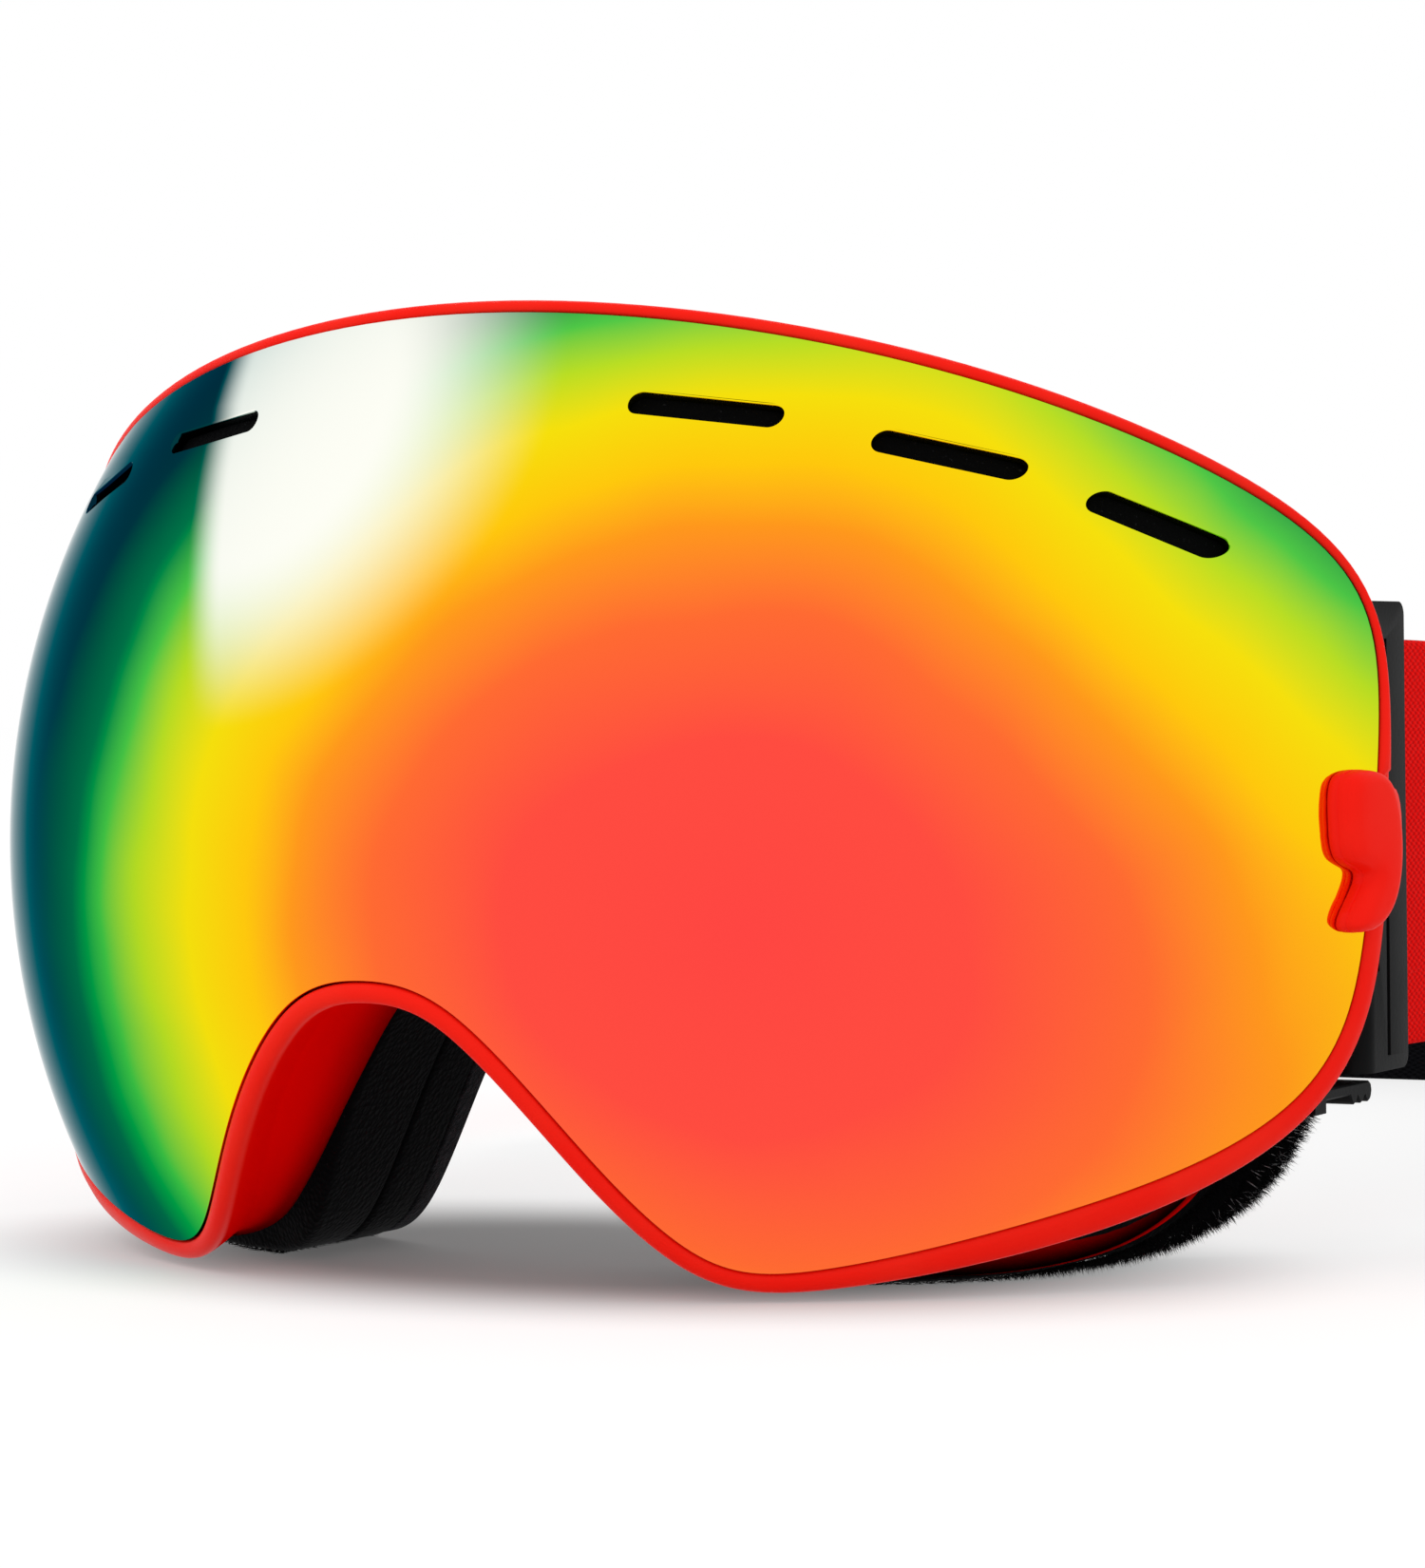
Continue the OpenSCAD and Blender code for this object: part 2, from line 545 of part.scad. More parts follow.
// Filter foam: a plug in each window, a little smaller than the window all round
plug_gap = 0.06;
plug_from = -0.9;
plug_to = -0.25;
function drawn_ends(r) = let (e = len(r) - 1) [for (k = [0 : e])
    k == 0 ? r[0] + plug_gap * (r[1] - r[0]) : k == e ? r[e] + plug_gap * (r[e - 1] - r[e]) : r[k]];
module vent_plug(span, open) row_solid(drawn_ends(
    wall_rows(span, open[0] + plug_gap, open[1] - plug_gap, plug_from * wall_t, plug_to * wall_t)));
module brow_vent_foam() color(black) for (w = brow_windows) vent_plug(w, brow_open);
module sill_vent_foam(s) color(black) side(s) for (w = sill_windows) vent_plug(w, sill_open);

// One layer of the face foam: flat against its neighbours, swollen at its outer and inner sides
module foam_layer(front, back, crown) ring_solid([
    foam_ring(0, front),
    foam_ring(foam_swell, (front + back) / 2),
    foam_ring(-crown, more(back, -crown / 2)),
    foam_ruling(0.5, back),
    foam_ruling(1, more(back, -crown)),
    foam_ruling(1, front),
    foam_ruling(flange_w / foam_w, front)]);
foam_crown = 0.05;
fleece_crown = 0.35;
soft_from = foam_base_t + 2 * tape_t;
fleece_from = soft_from + foam_soft_t + tape_t;
module face_foam_base() color(black)
    foam_layer(more(back_y, tape_t), more(face_y, tape_t + foam_base_t), foam_crown * foam_base_t);
module face_foam_soft() color(black)
    foam_layer(more(face_y, soft_from), more(face_y, soft_from + foam_soft_t), foam_crown * foam_soft_t);
module face_fleece() color(black)
    foam_layer(more(face_y, fleece_from), more(face_y, fleece_from + fleece_t), fleece_crown * fleece_t);

// Outrigger: a plate on a hinge, with a bar inside it that the strap goes round
outrigger_z0 = outrigger_z - outrigger_h / 2;
outrigger_z1 = outrigger_z + outrigger_h / 2;
groove_d = 0.8;
groove_w = 0.9;
module outrigger(s) color(black) side(s) difference() {
    union() {
        along_x(plate_in_x, plate_out_x) plate_shape();
        along_z(outrigger_z0, outrigger_z1) translate([pin_x, pin_y]) circle(knuckle_r);
        for (z = [[outrigger_z0, -strap_w / 2 - run_clear], [strap_w / 2 + run_clear, outrigger_z1]])
            along_z(z[0], z[1]) {
                translate([bar_x, bar_y - strap_bar_r]) square([plate_in_x - bar_x + 1, 2 * strap_bar_r]);
                translate([bar_x, bar_y]) circle(strap_bar_r);
            }
        translate([bar_x, bar_y, -strap_w / 2 - 2 * run_clear])
            cylinder(r = strap_bar_r, h = strap_w + 4 * run_clear);
    }
    translate([pin_x, pin_y, outrigger_z0 - 1])
        cylinder(r = hinge_pin_d / 2 + pin_clear, h = outrigger_h + 2);
    for (z = lug_z) along_z(z - lug_h / 2 - run_clear, z + lug_h / 2 + run_clear)
        translate([pin_x, pin_y]) circle(knuckle_r + run_clear);
    translate([plate_out_x - groove_d, bar_y - strap_bar_r - 2 * groove_w, -strap_w / 2])
        cube([groove_d + 1, groove_w, strap_w]);
}
// The plate seen from the side: square at the hinge, round at its rear corners
module plate_shape() {
    r = outrigger_corner_r;
    translate([pin_y, outrigger_z0]) square([outrigger_len - r, outrigger_h]);
    translate([pin_y, outrigger_z0 + r]) square([outrigger_len, outrigger_h - 2 * r]);
    for (z = [outrigger_z0 + r, outrigger_z1 - r]) translate([plate_back_y - r, z]) circle(r);
}
module outrigger_pin(s) color(steel) side(s) translate([pin_x, pin_y, outrigger_z])
    cylinder(d = hinge_pin_d, h = outrigger_h - 1, center = true);

// Latch: a hook that swings out on a pin behind the rim. d and h are counted from the lens edge at the side,
// seen from above: d on along the lens's surface, h out of it
latch_mid_z = latch_arm_z + latch_arm_h / 2;
latch_lug_h = 2.6;
latch_lug_z = [latch_arm_z - run_clear - latch_lug_h, latch_arm_z + latch_arm_h + run_clear];
latch_foot = [edge3[side_i].x, edge3[side_i].y];
latch_u = unit([edge_on[side_i].x, edge_on[side_i].y]);
latch_v = unit([edge_up[side_i].x, edge_up[side_i].y]);
function latch_at(d, h) = latch_foot + d * latch_u + h * latch_v;
latch_pin_dh = [rim_w[side_i] + run_clear + latch_knuckle_r, seat_h - seat_t];
latch_pin = latch_at(latch_pin_dh[0], latch_pin_dh[1]);
function latch_root(z) = let (i = side_at(z), q = edge3[i] + rim_w[i] / 2 * edge_on[i]
    + (seat_h - rim_back / 2) * edge_up[i]) [q.x, q.y];
tip_y = latch_foot.y - latch_reach;
function round_lens(y, r) = [sqrt(r * r - pow(lens_r - y, 2)), y];
arc_in = [for (k = [0 : 6]) round_lens(tip_y - 1 + (latch_reach + 0.4) * k / 6, lens_r + latch_clear)];
arc_over = [for (k = [6 : -1 : 0])
    round_lens(tip_y - 1 + (latch_reach + 0.9) * k / 6, lens_r + latch_clear + latch_t)];
latch_bend = lens_clear + 0.15;
module latch(s) color(red) side(s) difference() {
    union() {
        intersection() {
            along_z(-lens_r, lens_r) latch_plan();
            along_x(face_x, lens_r * 1.2) translate([tip_y, 0]) polygon(curve(latch_outline));
        }
        intersection() {
            along_z(latch_arm_z, latch_arm_z + latch_arm_h) latch_plan();
            along_x(face_x, lens_r * 1.2) translate([tip_y, latch_arm_z]) scale([latch_reach, latch_arm_h])
                polygon(curve(latch_arm_outline));
        }
    }
    translate([latch_pin.x, latch_pin.y, latch_arm_z - 1])
        cylinder(r = latch_pin_d / 2 + pin_clear, h = latch_arm_h + 2);
}
module latch_plan() {
    polygon(concat(arc_in, [latch_at(latch_bend, latch_clear), latch_pin,
        latch_pin + latch_knuckle_r * unit(0.73 * latch_u + 0.68 * latch_v),
        latch_at(rim_w[side_i] + 0.1, latch_clear), latch_at(lens_clear, latch_t)], arc_over));
    translate(latch_pin) circle(latch_knuckle_r);
}
// The rim gives way to the latch's arm, and the space outside it is clear
notch_out = 9;
notch_up = 5;
module latch_notch() {
    polygon([latch_at(lens_clear - 0.15, latch_clear + 1), latch_at(lens_clear - 0.15, 0.2),
        latch_at(latch_pin_dh[0] - run_clear, latch_pin_dh[1] - run_clear / 2),
        latch_at(notch_out, latch_pin_dh[1]), latch_at(notch_out, notch_up), latch_at(0, notch_up)]);
    translate(latch_pin) circle(latch_knuckle_r + run_clear);
}
module latch_pin_piece(s) color(steel) side(s) translate([latch_pin.x, latch_pin.y, latch_lug_z[0] + 0.3])
    cylinder(d = latch_pin_d, h = latch_lug_z[1] - latch_lug_z[0] + latch_lug_h - 0.6);

// Release tab: a flat slide in its guide, with three finger bumps under its free end
bump_r = 1.1;
tab_front_y = channel_y + run_clear;
module release_tab(s) color(black) side(s) {
    translate([tab_x - tab_w / 2, tab_front_y, tab_mid_z - tab_t / 2])
        cube([tab_w, tab_back_y - bump_r - tab_front_y, tab_t]);
    for (k = [0 : 2]) translate([tab_x - tab_w / 2, tab_back_y - bump_r - 1.8 * bump_r * k,
        tab_mid_z + tab_t / 2 - bump_r - 0.2]) rotate([0, 90, 0]) cylinder(r = bump_r, h = tab_w);
}

// Strap: the long band, the loop round each outrigger bar, and the tail that comes back to each adjuster
run_steps = 10;
arc_steps = 26;
band_stations = concat([for (k = [0 : run_steps - 1]) run_len * k / run_steps],
    [for (k = [0 : arc_steps]) run_len + (2 * half_len - 2 * run_len) * k / arc_steps],
    [for (k = [run_steps - 1 : -1 : 0]) 2 * half_len - run_len * k / run_steps]);
module strap_band() color(red) band([for (s = band_stations) strap_at(s)], strap_w, strap_t);

loop_in_r = strap_bar_r + bar_gap;
module strap_loop(s) color(red) side(s) along_z(-strap_w / 2, strap_w / 2) {
    intersection() {
        translate([bar_x, bar_y]) difference() {
            circle(loop_in_r + strap_t);
            circle(loop_in_r);
        }
        translate([bar_x - 2 * strap_t - loop_in_r, bar_y - 2 * strap_t - loop_in_r])
            square([4 * strap_t + 2 * loop_in_r, 2 * strap_t + loop_in_r]);
    }
    for (x = [strap_x, tail_x]) translate([x - strap_t / 2, bar_y])
        square([strap_t, strap_end_y(x) - bar_y]);
}
// Both layers end on one circle round the hinge pin, so that the loop can turn past the band
function strap_end_y(x) = pin_y + sqrt(joint_r * joint_r - pow(abs(x - pin_x) + strap_t / 2, 2));

// Tail: from the outrigger to the adjuster, round its bar and back on itself
slider_bar_x = tail_x - strap_t / 2 - bar_gap - strap_bar_r;
tail_turn_r = loop_in_r + strap_t / 2;
tail_lap = 12;
function on_run(x, y) = [x, y, sink(y - strap_start_y)];
tail_start_y = strap_start_y + 0.6;
tail_steps = 7;
tail_path = concat(
    [for (k = [0 : tail_steps - 1]) on_run(tail_x, tail_start_y + (slider_y - tail_start_y) * k / tail_steps)],
    [for (a = [0 : 20 : 180]) on_run(slider_bar_x + tail_turn_r * cos(a), slider_y + tail_turn_r * sin(a))],
    [for (k = [1 : 5]) on_run(slider_bar_x - tail_turn_r + (2 * tail_turn_r - strap_t - 0.2) * ease(k / 5),
        slider_y - tail_lap * k / 5)],
    [on_run(slider_bar_x + tail_turn_r - strap_t - 0.2, slider_y - tail_lap - 4)]);
tail_across = [for (p = tail_path) let (a = tilt_at(min(p.y, slider_y) - strap_start_y))
    [0, -sin(a), cos(a)]];
module strap_tail(s) color([0.10, 0.10, 0.11]) side(s)
    band(tail_path, strap_w, strap_t, across = tail_across);

// Adjuster: two outer bars over the band, an inner bar in the tail's fold, and end pieces that join them
slider_bar_t = 1.8;
slider_bar_w = 3;
slider_end_t = 2.2;
module strap_slider(s) color(black) side(s) translate([0, slider_y, sink(slider_at)])
rotate([slider_tilt, 0, 0]) {
    x1 = strap_x + strap_t / 2 + run_clear;
    z1 = strap_w / 2 + 2 * run_clear;
    for (y = [-slider_len / 2, slider_len / 2 - slider_bar_w])
        translate([x1, y, -z1 - slider_end_t]) cube([slider_bar_t, slider_bar_w, 2 * (z1 + slider_end_t)]);
    translate([slider_bar_x, 0, -z1 - slider_end_t]) cylinder(r = strap_bar_r, h = 2 * (z1 + slider_end_t));
    for (z = [-z1 - slider_end_t, z1]) along_z(z, z + slider_end_t) {
        translate([slider_bar_x, -slider_len / 4]) square([x1 + slider_bar_t - slider_bar_x, slider_len / 2]);
        translate([slider_bar_x, 0]) circle(slider_len / 4);
        translate([x1, -slider_len / 2]) square([slider_bar_t, slider_len]);
    }
}

// Grip beads: thin silicone lines on the inner face of the band, behind the head
bead_pitch = strap_w / (bead_count + 1);
arc_stations = [for (k = [1 : arc_steps - 1]) run_len + (2 * half_len - 2 * run_len) * k / arc_steps];
module grip_beads() color([0.2, 0.2, 0.21]) for (b = [1 : bead_count])
    band([for (s = arc_stations) strap_at(s, (strap_t + bead_t) / 2 + bead_gap)], bead_w, bead_t,
        lift = bead_pitch * b - strap_w / 2);

stand() outer_lens();
stand() inner_lens();
stand() lens_gasket();
stand() lens_vent_pads();
stand() frame_shell();
stand() brow_vent_foam();
stand() sill_vent_foam(1);  // sill_vent_foam_left
stand() sill_vent_foam(-1);  // sill_vent_foam_right
stand() face_foam_base();
stand() face_foam_soft();
stand() face_fleece();
stand() outrigger(1);  // outrigger_left
stand() outrigger(-1);  // outrigger_right
stand() outrigger_pin(1);  // outrigger_pin_left
stand() outrigger_pin(-1);  // outrigger_pin_right
stand() latch(1);  // latch_left
stand() latch(-1);  // latch_right
stand() latch_pin_piece(1);  // latch_pin_left
stand() latch_pin_piece(-1);  // latch_pin_right
stand() release_tab(1);  // release_tab_left
stand() release_tab(-1);  // release_tab_right
stand() strap_band();
stand() strap_loop(1);  // strap_loop_left
stand() strap_loop(-1);  // strap_loop_right
stand() strap_tail(1);  // strap_tail_left
stand() strap_tail(-1);  // strap_tail_right
stand() strap_slider(1);  // strap_slider_left
stand() strap_slider(-1);  // strap_slider_right
stand() grip_beads();
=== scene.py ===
# %% [markdown]
# # Ski goggles, dressed
# The solid model of these goggles comes from a CAD source and is loaded as a fixed frame: a spherical lens in a
# red rim, foam behind it, hinged outriggers and an elastic strap. This lesson puts the real surfaces on it.
# Everything is in metres in the CAD frame, but the shapes are easier to think of in millimetres, counted from the
# front of the lens, so one function moves them over.

# %% Load the frame
import math

import bmesh
import bpy
import numpy as np
from mathutils import Matrix, Vector
from mathutils.geometry import delaunay_2d_cdt


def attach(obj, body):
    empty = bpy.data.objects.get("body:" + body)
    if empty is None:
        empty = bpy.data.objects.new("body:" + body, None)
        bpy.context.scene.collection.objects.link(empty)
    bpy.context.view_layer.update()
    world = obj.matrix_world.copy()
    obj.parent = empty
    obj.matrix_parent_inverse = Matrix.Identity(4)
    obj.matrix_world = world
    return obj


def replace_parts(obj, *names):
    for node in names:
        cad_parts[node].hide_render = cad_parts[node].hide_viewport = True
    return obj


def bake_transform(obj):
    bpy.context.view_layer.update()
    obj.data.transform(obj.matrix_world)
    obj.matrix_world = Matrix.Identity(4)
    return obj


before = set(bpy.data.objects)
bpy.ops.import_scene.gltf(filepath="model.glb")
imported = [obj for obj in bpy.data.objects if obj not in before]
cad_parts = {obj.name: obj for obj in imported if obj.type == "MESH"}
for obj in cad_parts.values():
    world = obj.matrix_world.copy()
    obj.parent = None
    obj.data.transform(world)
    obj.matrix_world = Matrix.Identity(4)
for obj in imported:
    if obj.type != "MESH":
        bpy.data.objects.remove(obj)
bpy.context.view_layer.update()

LENS_TO_TABLE = np.array([0.0, -144.0, 44.3633])


def placed(points):
    """Millimetres from the front of the lens and the middle of its sphere, into metres in the CAD frame."""
    return (np.asarray(points, float) + LENS_TO_TABLE) / 1000.0


# %% [markdown]
# ## Camera
# The photograph looks at the goggles from the wearer's left front, nearly level. The camera is given by a target
# point, two angles, a roll and a distance, all found by fitting the outline of the lens.

# %% Camera
def added(name, data):
    """A new object with that data, linked into the scene."""
    made = bpy.data.objects.new(name, data)
    bpy.context.collection.objects.link(made)
    return made


TARGET = placed([19.22, 40.0, 7.78])
AZIMUTH, ELEVATION, ROLL = (math.radians(a) for a in (29.46, 1.26, 0.79))
DISTANCE, FOCAL, SENSOR = 0.4974, 107.13, 36.0
back = np.array([math.sin(AZIMUTH) * math.cos(ELEVATION), -math.cos(AZIMUTH) * math.cos(ELEVATION),
                 math.sin(ELEVATION)])
level = np.array([math.cos(AZIMUTH), math.sin(AZIMUTH), 0.0])
upward = np.cross(back, level)
right = math.cos(ROLL) * level - math.sin(ROLL) * upward
camera_up = math.sin(ROLL) * level + math.cos(ROLL) * upward
camera = added("camera", bpy.data.cameras.new("camera"))
turn = np.eye(4)
turn[:3, :3] = np.stack([right, camera_up, back], axis=1)
turn[:3, 3] = TARGET + DISTANCE * back
camera.matrix_world = Matrix(turn.tolist())
camera.data.sensor_fit = "VERTICAL"
camera.data.sensor_height = camera.data.sensor_width = SENSOR
camera.data.lens = FOCAL
camera.data.clip_start, camera.data.clip_end = 0.01, 20.0
bpy.context.scene.camera = camera
print("camera at", np.round(turn[:3, 3], 4))

# %% [markdown]
# ## Shader maths
# A finish is easier to read as a formula than as a chain of nodes. This class holds a socket, turns Python's
# operators into Math nodes, and makes any other node through one method.


# %% Sockets as values
def both_ways(operation):
    """Two methods for one of Python's operators: with the value on its left, and on its right."""
    return (lambda self, other: self.math(operation, self, other),
            lambda self, other: self.math(operation, other, self))


class Value:
    """One output socket of a material's node tree, with arithmetic."""

    def __init__(self, tree, socket):
        self.tree, self.socket = tree, socket

    def node(self, kind, settings=None, out=0, **inputs):
        """Adds a node of that type; settings are set first, then each named input gets a value or a link."""
        made = self.tree.nodes.new(kind)
        for key, value in (settings or {}).items():
            if key == "stops":
                ramp = made.color_ramp
                while len(ramp.elements) < len(value):
                    ramp.elements.new(1.0)
                for element, (place, colour) in zip(ramp.elements, value):
                    element.position, element.color = place, colour
            else:
                setattr(made, key, value)
        for key, value in inputs.items():
            index = int(key[1:]) if key[0] == "i" and key[1:].isdigit() else key.replace("_", " ")
            if isinstance(value, Value):
                self.tree.links.new(value.socket, made.inputs[index])
            else:
                made.inputs[index].default_value = value
        return Value(self.tree, made.outputs[out])

    def math(self, operation, a, b=0.0):
        """A Math node; a and b are numbers or values."""
        return self.node("ShaderNodeMath", {"operation": operation}, i0=a, i1=b)

    __add__, __radd__ = both_ways("ADD")
    __sub__, __rsub__ = both_ways("SUBTRACT")
    __mul__, __rmul__ = both_ways("MULTIPLY")
    __truediv__, __rtruediv__ = both_ways("DIVIDE")
    __pow__, __rpow__ = both_ways("POWER")

    def clamped(self):
        """Cut to the range from 0 to 1."""
        return self.node("ShaderNodeClamp", None, Value=self)

    def step(self, low, high):
        """0 below low, 1 above high, and smooth between."""
        return self.node("ShaderNodeMapRange", {"interpolation_type": "SMOOTHSTEP"}, Value=self, From_Min=low,
                         From_Max=high)

    def mix(self, a, b):
        """Colour a where this value is 0, colour b where it is 1."""
        return self.node("ShaderNodeMix", {"data_type": "RGBA"}, out=2, i0=self, i6=a, i7=b)


def srgb(red, green, blue):
    """A colour as seen on a screen, 0 to 255, into the linear values that a shader takes."""
    c = np.array([red, green, blue]) / 255.0
    linear = np.where(c <= 0.04045, c / 12.92, ((c + 0.055) / 1.055) ** 2.4)
    return (*linear.tolist(), 1.0)


def finish(name, colour, roughness, **sockets):
    """A new material: its Principled shader, and a value that further nodes are made from."""
    material = bpy.data.materials.new(name)
    material.use_nodes = True
    tree = material.node_tree
    shader = next(n for n in tree.nodes if n.type == "BSDF_PRINCIPLED")
    shader.inputs["Base Color"].default_value = colour
    shader.inputs["Roughness"].default_value = roughness
    for key, value in sockets.items():
        shader.inputs[key.replace("_", " ")].default_value = value
    coords = tree.nodes.new("ShaderNodeTexCoord")
    return material, shader, Value(tree, coords.outputs["Object"])


def feed(shader, socket, value):
    """Links a value into one input of a shader."""
    value.tree.links.new(value.socket, shader.inputs[socket])


def noise(place, scale, detail=2.0, roughness=0.5):
    """Smooth random values from 0 to 1; scale is how many per metre."""
    return place.node("ShaderNodeTexNoise", None, Vector=place, Scale=scale, Detail=detail, Roughness=roughness)


def bump(shader, height, depth, strength=1.0):
    """Feeds a height, 0 to 1, into the normal; depth is in metres."""
    feed(shader, "Normal", height.node("ShaderNodeBump", None, Strength=strength, Distance=depth, Height=height))


def ray_kinds(tree, *kinds):
    """A value for each kind of ray: 1 while such a ray is followed, else 0."""
    outputs = tree.nodes.new("ShaderNodeLightPath").outputs
    return [Value(tree, outputs[f"Is {kind} Ray"]) for kind in kinds]


def mix_shaders(place, factor, shader, other):
    """The material shows its own shader where the factor is 0 and the other one where it is 1."""
    mixed = place.node("ShaderNodeMixShader", None, i0=factor, i1=Value(place.tree, shader.outputs[0]), i2=other)
    output = next(n for n in place.tree.nodes if n.type == "OUTPUT_MATERIAL")
    place.tree.links.new(mixed.socket, output.inputs["Surface"])


print("white is", srgb(255, 255, 255))

# %% [markdown]
# ## Plastics
# The rim and latches are a bright red moulded plastic with a satin skin: nearly even in colour, with a fine grain
# that breaks up the highlights. The outriggers, tabs and adjusters are black, with the same grain, a bit coarser.
# A wall behind the rim is seen at a low angle, where any gloss would turn it pale, so a dull shader is mixed in there
# by an attribute of the mesh. The same attribute paints shade into the colour: darker red towards the face and near
# black along the sill.

# %% Red and black plastic
red_plastic, shader, place = finish("red_plastic", srgb(252, 40, 22), 0.42, Specular_IOR_Level=0.07)
grain = noise(place, 2600.0, 3.0, 0.6)
cloudy = noise(place, 90.0, 2.0)
deep_in = place.node("ShaderNodeAttribute", {"attribute_name": "deep_in"}, out=2)
skin = cloudy.step(0.3, 0.7).mix(srgb(255, 26, 12), srgb(255, 36, 20))
feed(shader, "Base Color", skin)
feed(shader, "Roughness", 0.38 + 0.1 * cloudy)
bump(shader, grain, 0.00006, 0.25)
# Painted shade: with the attribute the colour falls from the red skin to dark red and then to near black
painted_shade_colour = deep_in.step(0.4, 1.0).mix(deep_in.step(0.0, 0.25).mix(skin, srgb(255, 3, 2)), srgb(14, 0, 0))
wall = place.node("ShaderNodeBsdfPrincipled", None, Base_Color=painted_shade_colour, Roughness=1.0, Specular_IOR_Level=0.0)
mix_shaders(place, deep_in.step(0.03, 0.2), shader, wall)

black_plastic, shader, place = finish("black_plastic", srgb(13, 13, 14), 0.5, Specular_IOR_Level=0.05)
grain = noise(place, 1800.0, 3.0, 0.6)
cloudy = noise(place, 120.0, 2.0)
feed(shader, "Base Color", cloudy.step(0.3, 0.7).mix(srgb(9, 10, 11), srgb(17, 18, 19)))
feed(shader, "Roughness", 0.46 + 0.12 * cloudy)
bump(shader, grain, 0.00008, 0.35)

steel, shader, place = finish("steel", srgb(190, 190, 192), 0.3, Metallic=1.0)
brushed = place.node("ShaderNodeMapping", None, Vector=place, Scale=(1.0, 1.0, 0.04))
brushed = noise(brushed, 3000.0, 2.0)
feed(shader, "Roughness", 0.24 + 0.16 * brushed)
print("plastics and steel", [m.name for m in (red_plastic, black_plastic, steel)])

# %% [markdown]
# ## Foam, fleece and silicone
# Open-cell foam is dark and swallows light: its grain is a field of small pits, with pale flecks painted into its
# colour as glints where a cell wall catches the light. Fleece is softer, so it gets a sheen, and its colour is darker
# between its tufts, a painted shade. The grip lines inside the strap are smooth silicone.

# %% Soft finishes
foam_finish, shader, place = finish("foam", srgb(10, 10, 11), 0.95, Specular_IOR_Level=0.05)
cells = place.node("ShaderNodeTexVoronoi", {"feature": "F1"}, Vector=place, Scale=1500.0)
# Painted glints: pale flecks in the foam's colour, where cell walls would catch the light
painted_glints = noise(place, 2600.0, 2.0).step(0.64, 0.78)
pale = place.node("ShaderNodeAttribute", {"attribute_name": "pale"}, out=2)
feed(shader, "Base Color", pale.mix(painted_glints.mix(srgb(4, 4, 5), srgb(26, 26, 29)), srgb(150, 150, 152)))
bump(shader, cells, 0.0003, 0.6)

fleece_finish, shader, place = finish("fleece", srgb(20, 20, 22), 1.0, Specular_IOR_Level=0.1, Sheen_Weight=0.4,
                                      Sheen_Roughness=0.4, Sheen_Tint=srgb(120, 120, 125))
tufts = noise(place, 900.0, 4.0, 0.65)
# Painted shade: the colour follows the tufts' relief, darker between the tufts
feed(shader, "Base Color", tufts.step(0.35, 0.7).mix(srgb(10, 10, 12), srgb(34, 34, 37)))
bump(shader, tufts, 0.0009, 0.8)

silicone, shader, place = finish("silicone", srgb(52, 52, 55), 0.32, Subsurface_Weight=0.1)
feed(shader, "Roughness", 0.26 + 0.14 * noise(place, 700.0, 2.0))
print("soft finishes", [m.name for m in (foam_finish, fleece_finish, silicone)])

# %% [markdown]
# ## The mirrored lens
# A mirror coating on a ski lens is a stack of thin layers whose colour shifts across the curve: red in the middle,
# yellow round it, then green and teal towards the edges. Here the colour is a function of place on the lens: soft
# round fields, each with a middle and a reach, laid over one another. They are partly the coating's own colour and
# partly a painted reflection of the surroundings, and a near-white patch at the upper left is a painted reflection.
# The metal does the reflecting.

# %% Mirror coating
mirror_lens, shader, place = finish("mirror_lens", srgb(255, 90, 60), 0.04, Metallic=1.0,
                                    Specular_Tint=(0.25, 0.45, 0.5, 1.0))


def oval(place, x, z, reach_x, reach_z):
    """1 in the middle of an oval on the lens, falling to 0 at its reach; millimetres from the lens centre."""
    middle = placed([x, 0.0, z]) * 1000.0
    moved = place.node("ShaderNodeMapping", {"vector_type": "POINT"}, Vector=place,
                       Location=(-middle[0] / reach_x, 0.0, -middle[2] / reach_z),
                       Scale=(1000.0 / reach_x, 0.0, 1000.0 / reach_z))
    return (1.0 - moved.node("ShaderNodeVectorMath", {"operation": "LENGTH"}, out=1, i0=moved)).clamped()


RED_MIDDLE, RINGS_TO = (40.0, -6.0), 90.0
RINGS = [(0, srgb(255, 70, 66)), (18, srgb(255, 76, 64)), (29, srgb(255, 106, 50)), (37, srgb(255, 152, 28)),
         (43, srgb(255, 200, 12)), (50, srgb(246, 224, 12)), (56, srgb(184, 222, 36)), (61, srgb(80, 200, 70)),
         (66, srgb(20, 120, 74)), (74, srgb(4, 62, 66)), (86, srgb(2, 38, 54))]
lens_x = place.node("ShaderNodeSeparateXYZ", None, out=0, Vector=place) * 1000.0
lens_z = place.node("ShaderNodeSeparateXYZ", None, out=2, Vector=place) * 1000.0 - LENS_TO_TABLE[2]
upper = lens_z.step(-14.0, 12.0)
right_scale = 1.0 + lens_z * (0.0055 + 0.004 * lens_z.step(-5.0, 5.0))
aside = (lens_x - RED_MIDDLE[0]) * (0.78 + (right_scale - 0.78) * (lens_x - RED_MIDDLE[0]).step(-12.0, 12.0))
above = (lens_z - RED_MIDDLE[1]) * (0.86 + 0.07 * upper)
waver = (noise(place, 30.0, 2.0) - 0.5) * 6.0
ring = (aside * aside + above * above) ** 0.5 + waver
# Partly the coating's own colour and partly painted reflection: the rings and their lopsided spread over the lens
coating_and_painted_reflection = ring.node("ShaderNodeValToRGB", {"stops": [(d / RINGS_TO, c) for d, c in RINGS]}, Fac=ring / RINGS_TO)
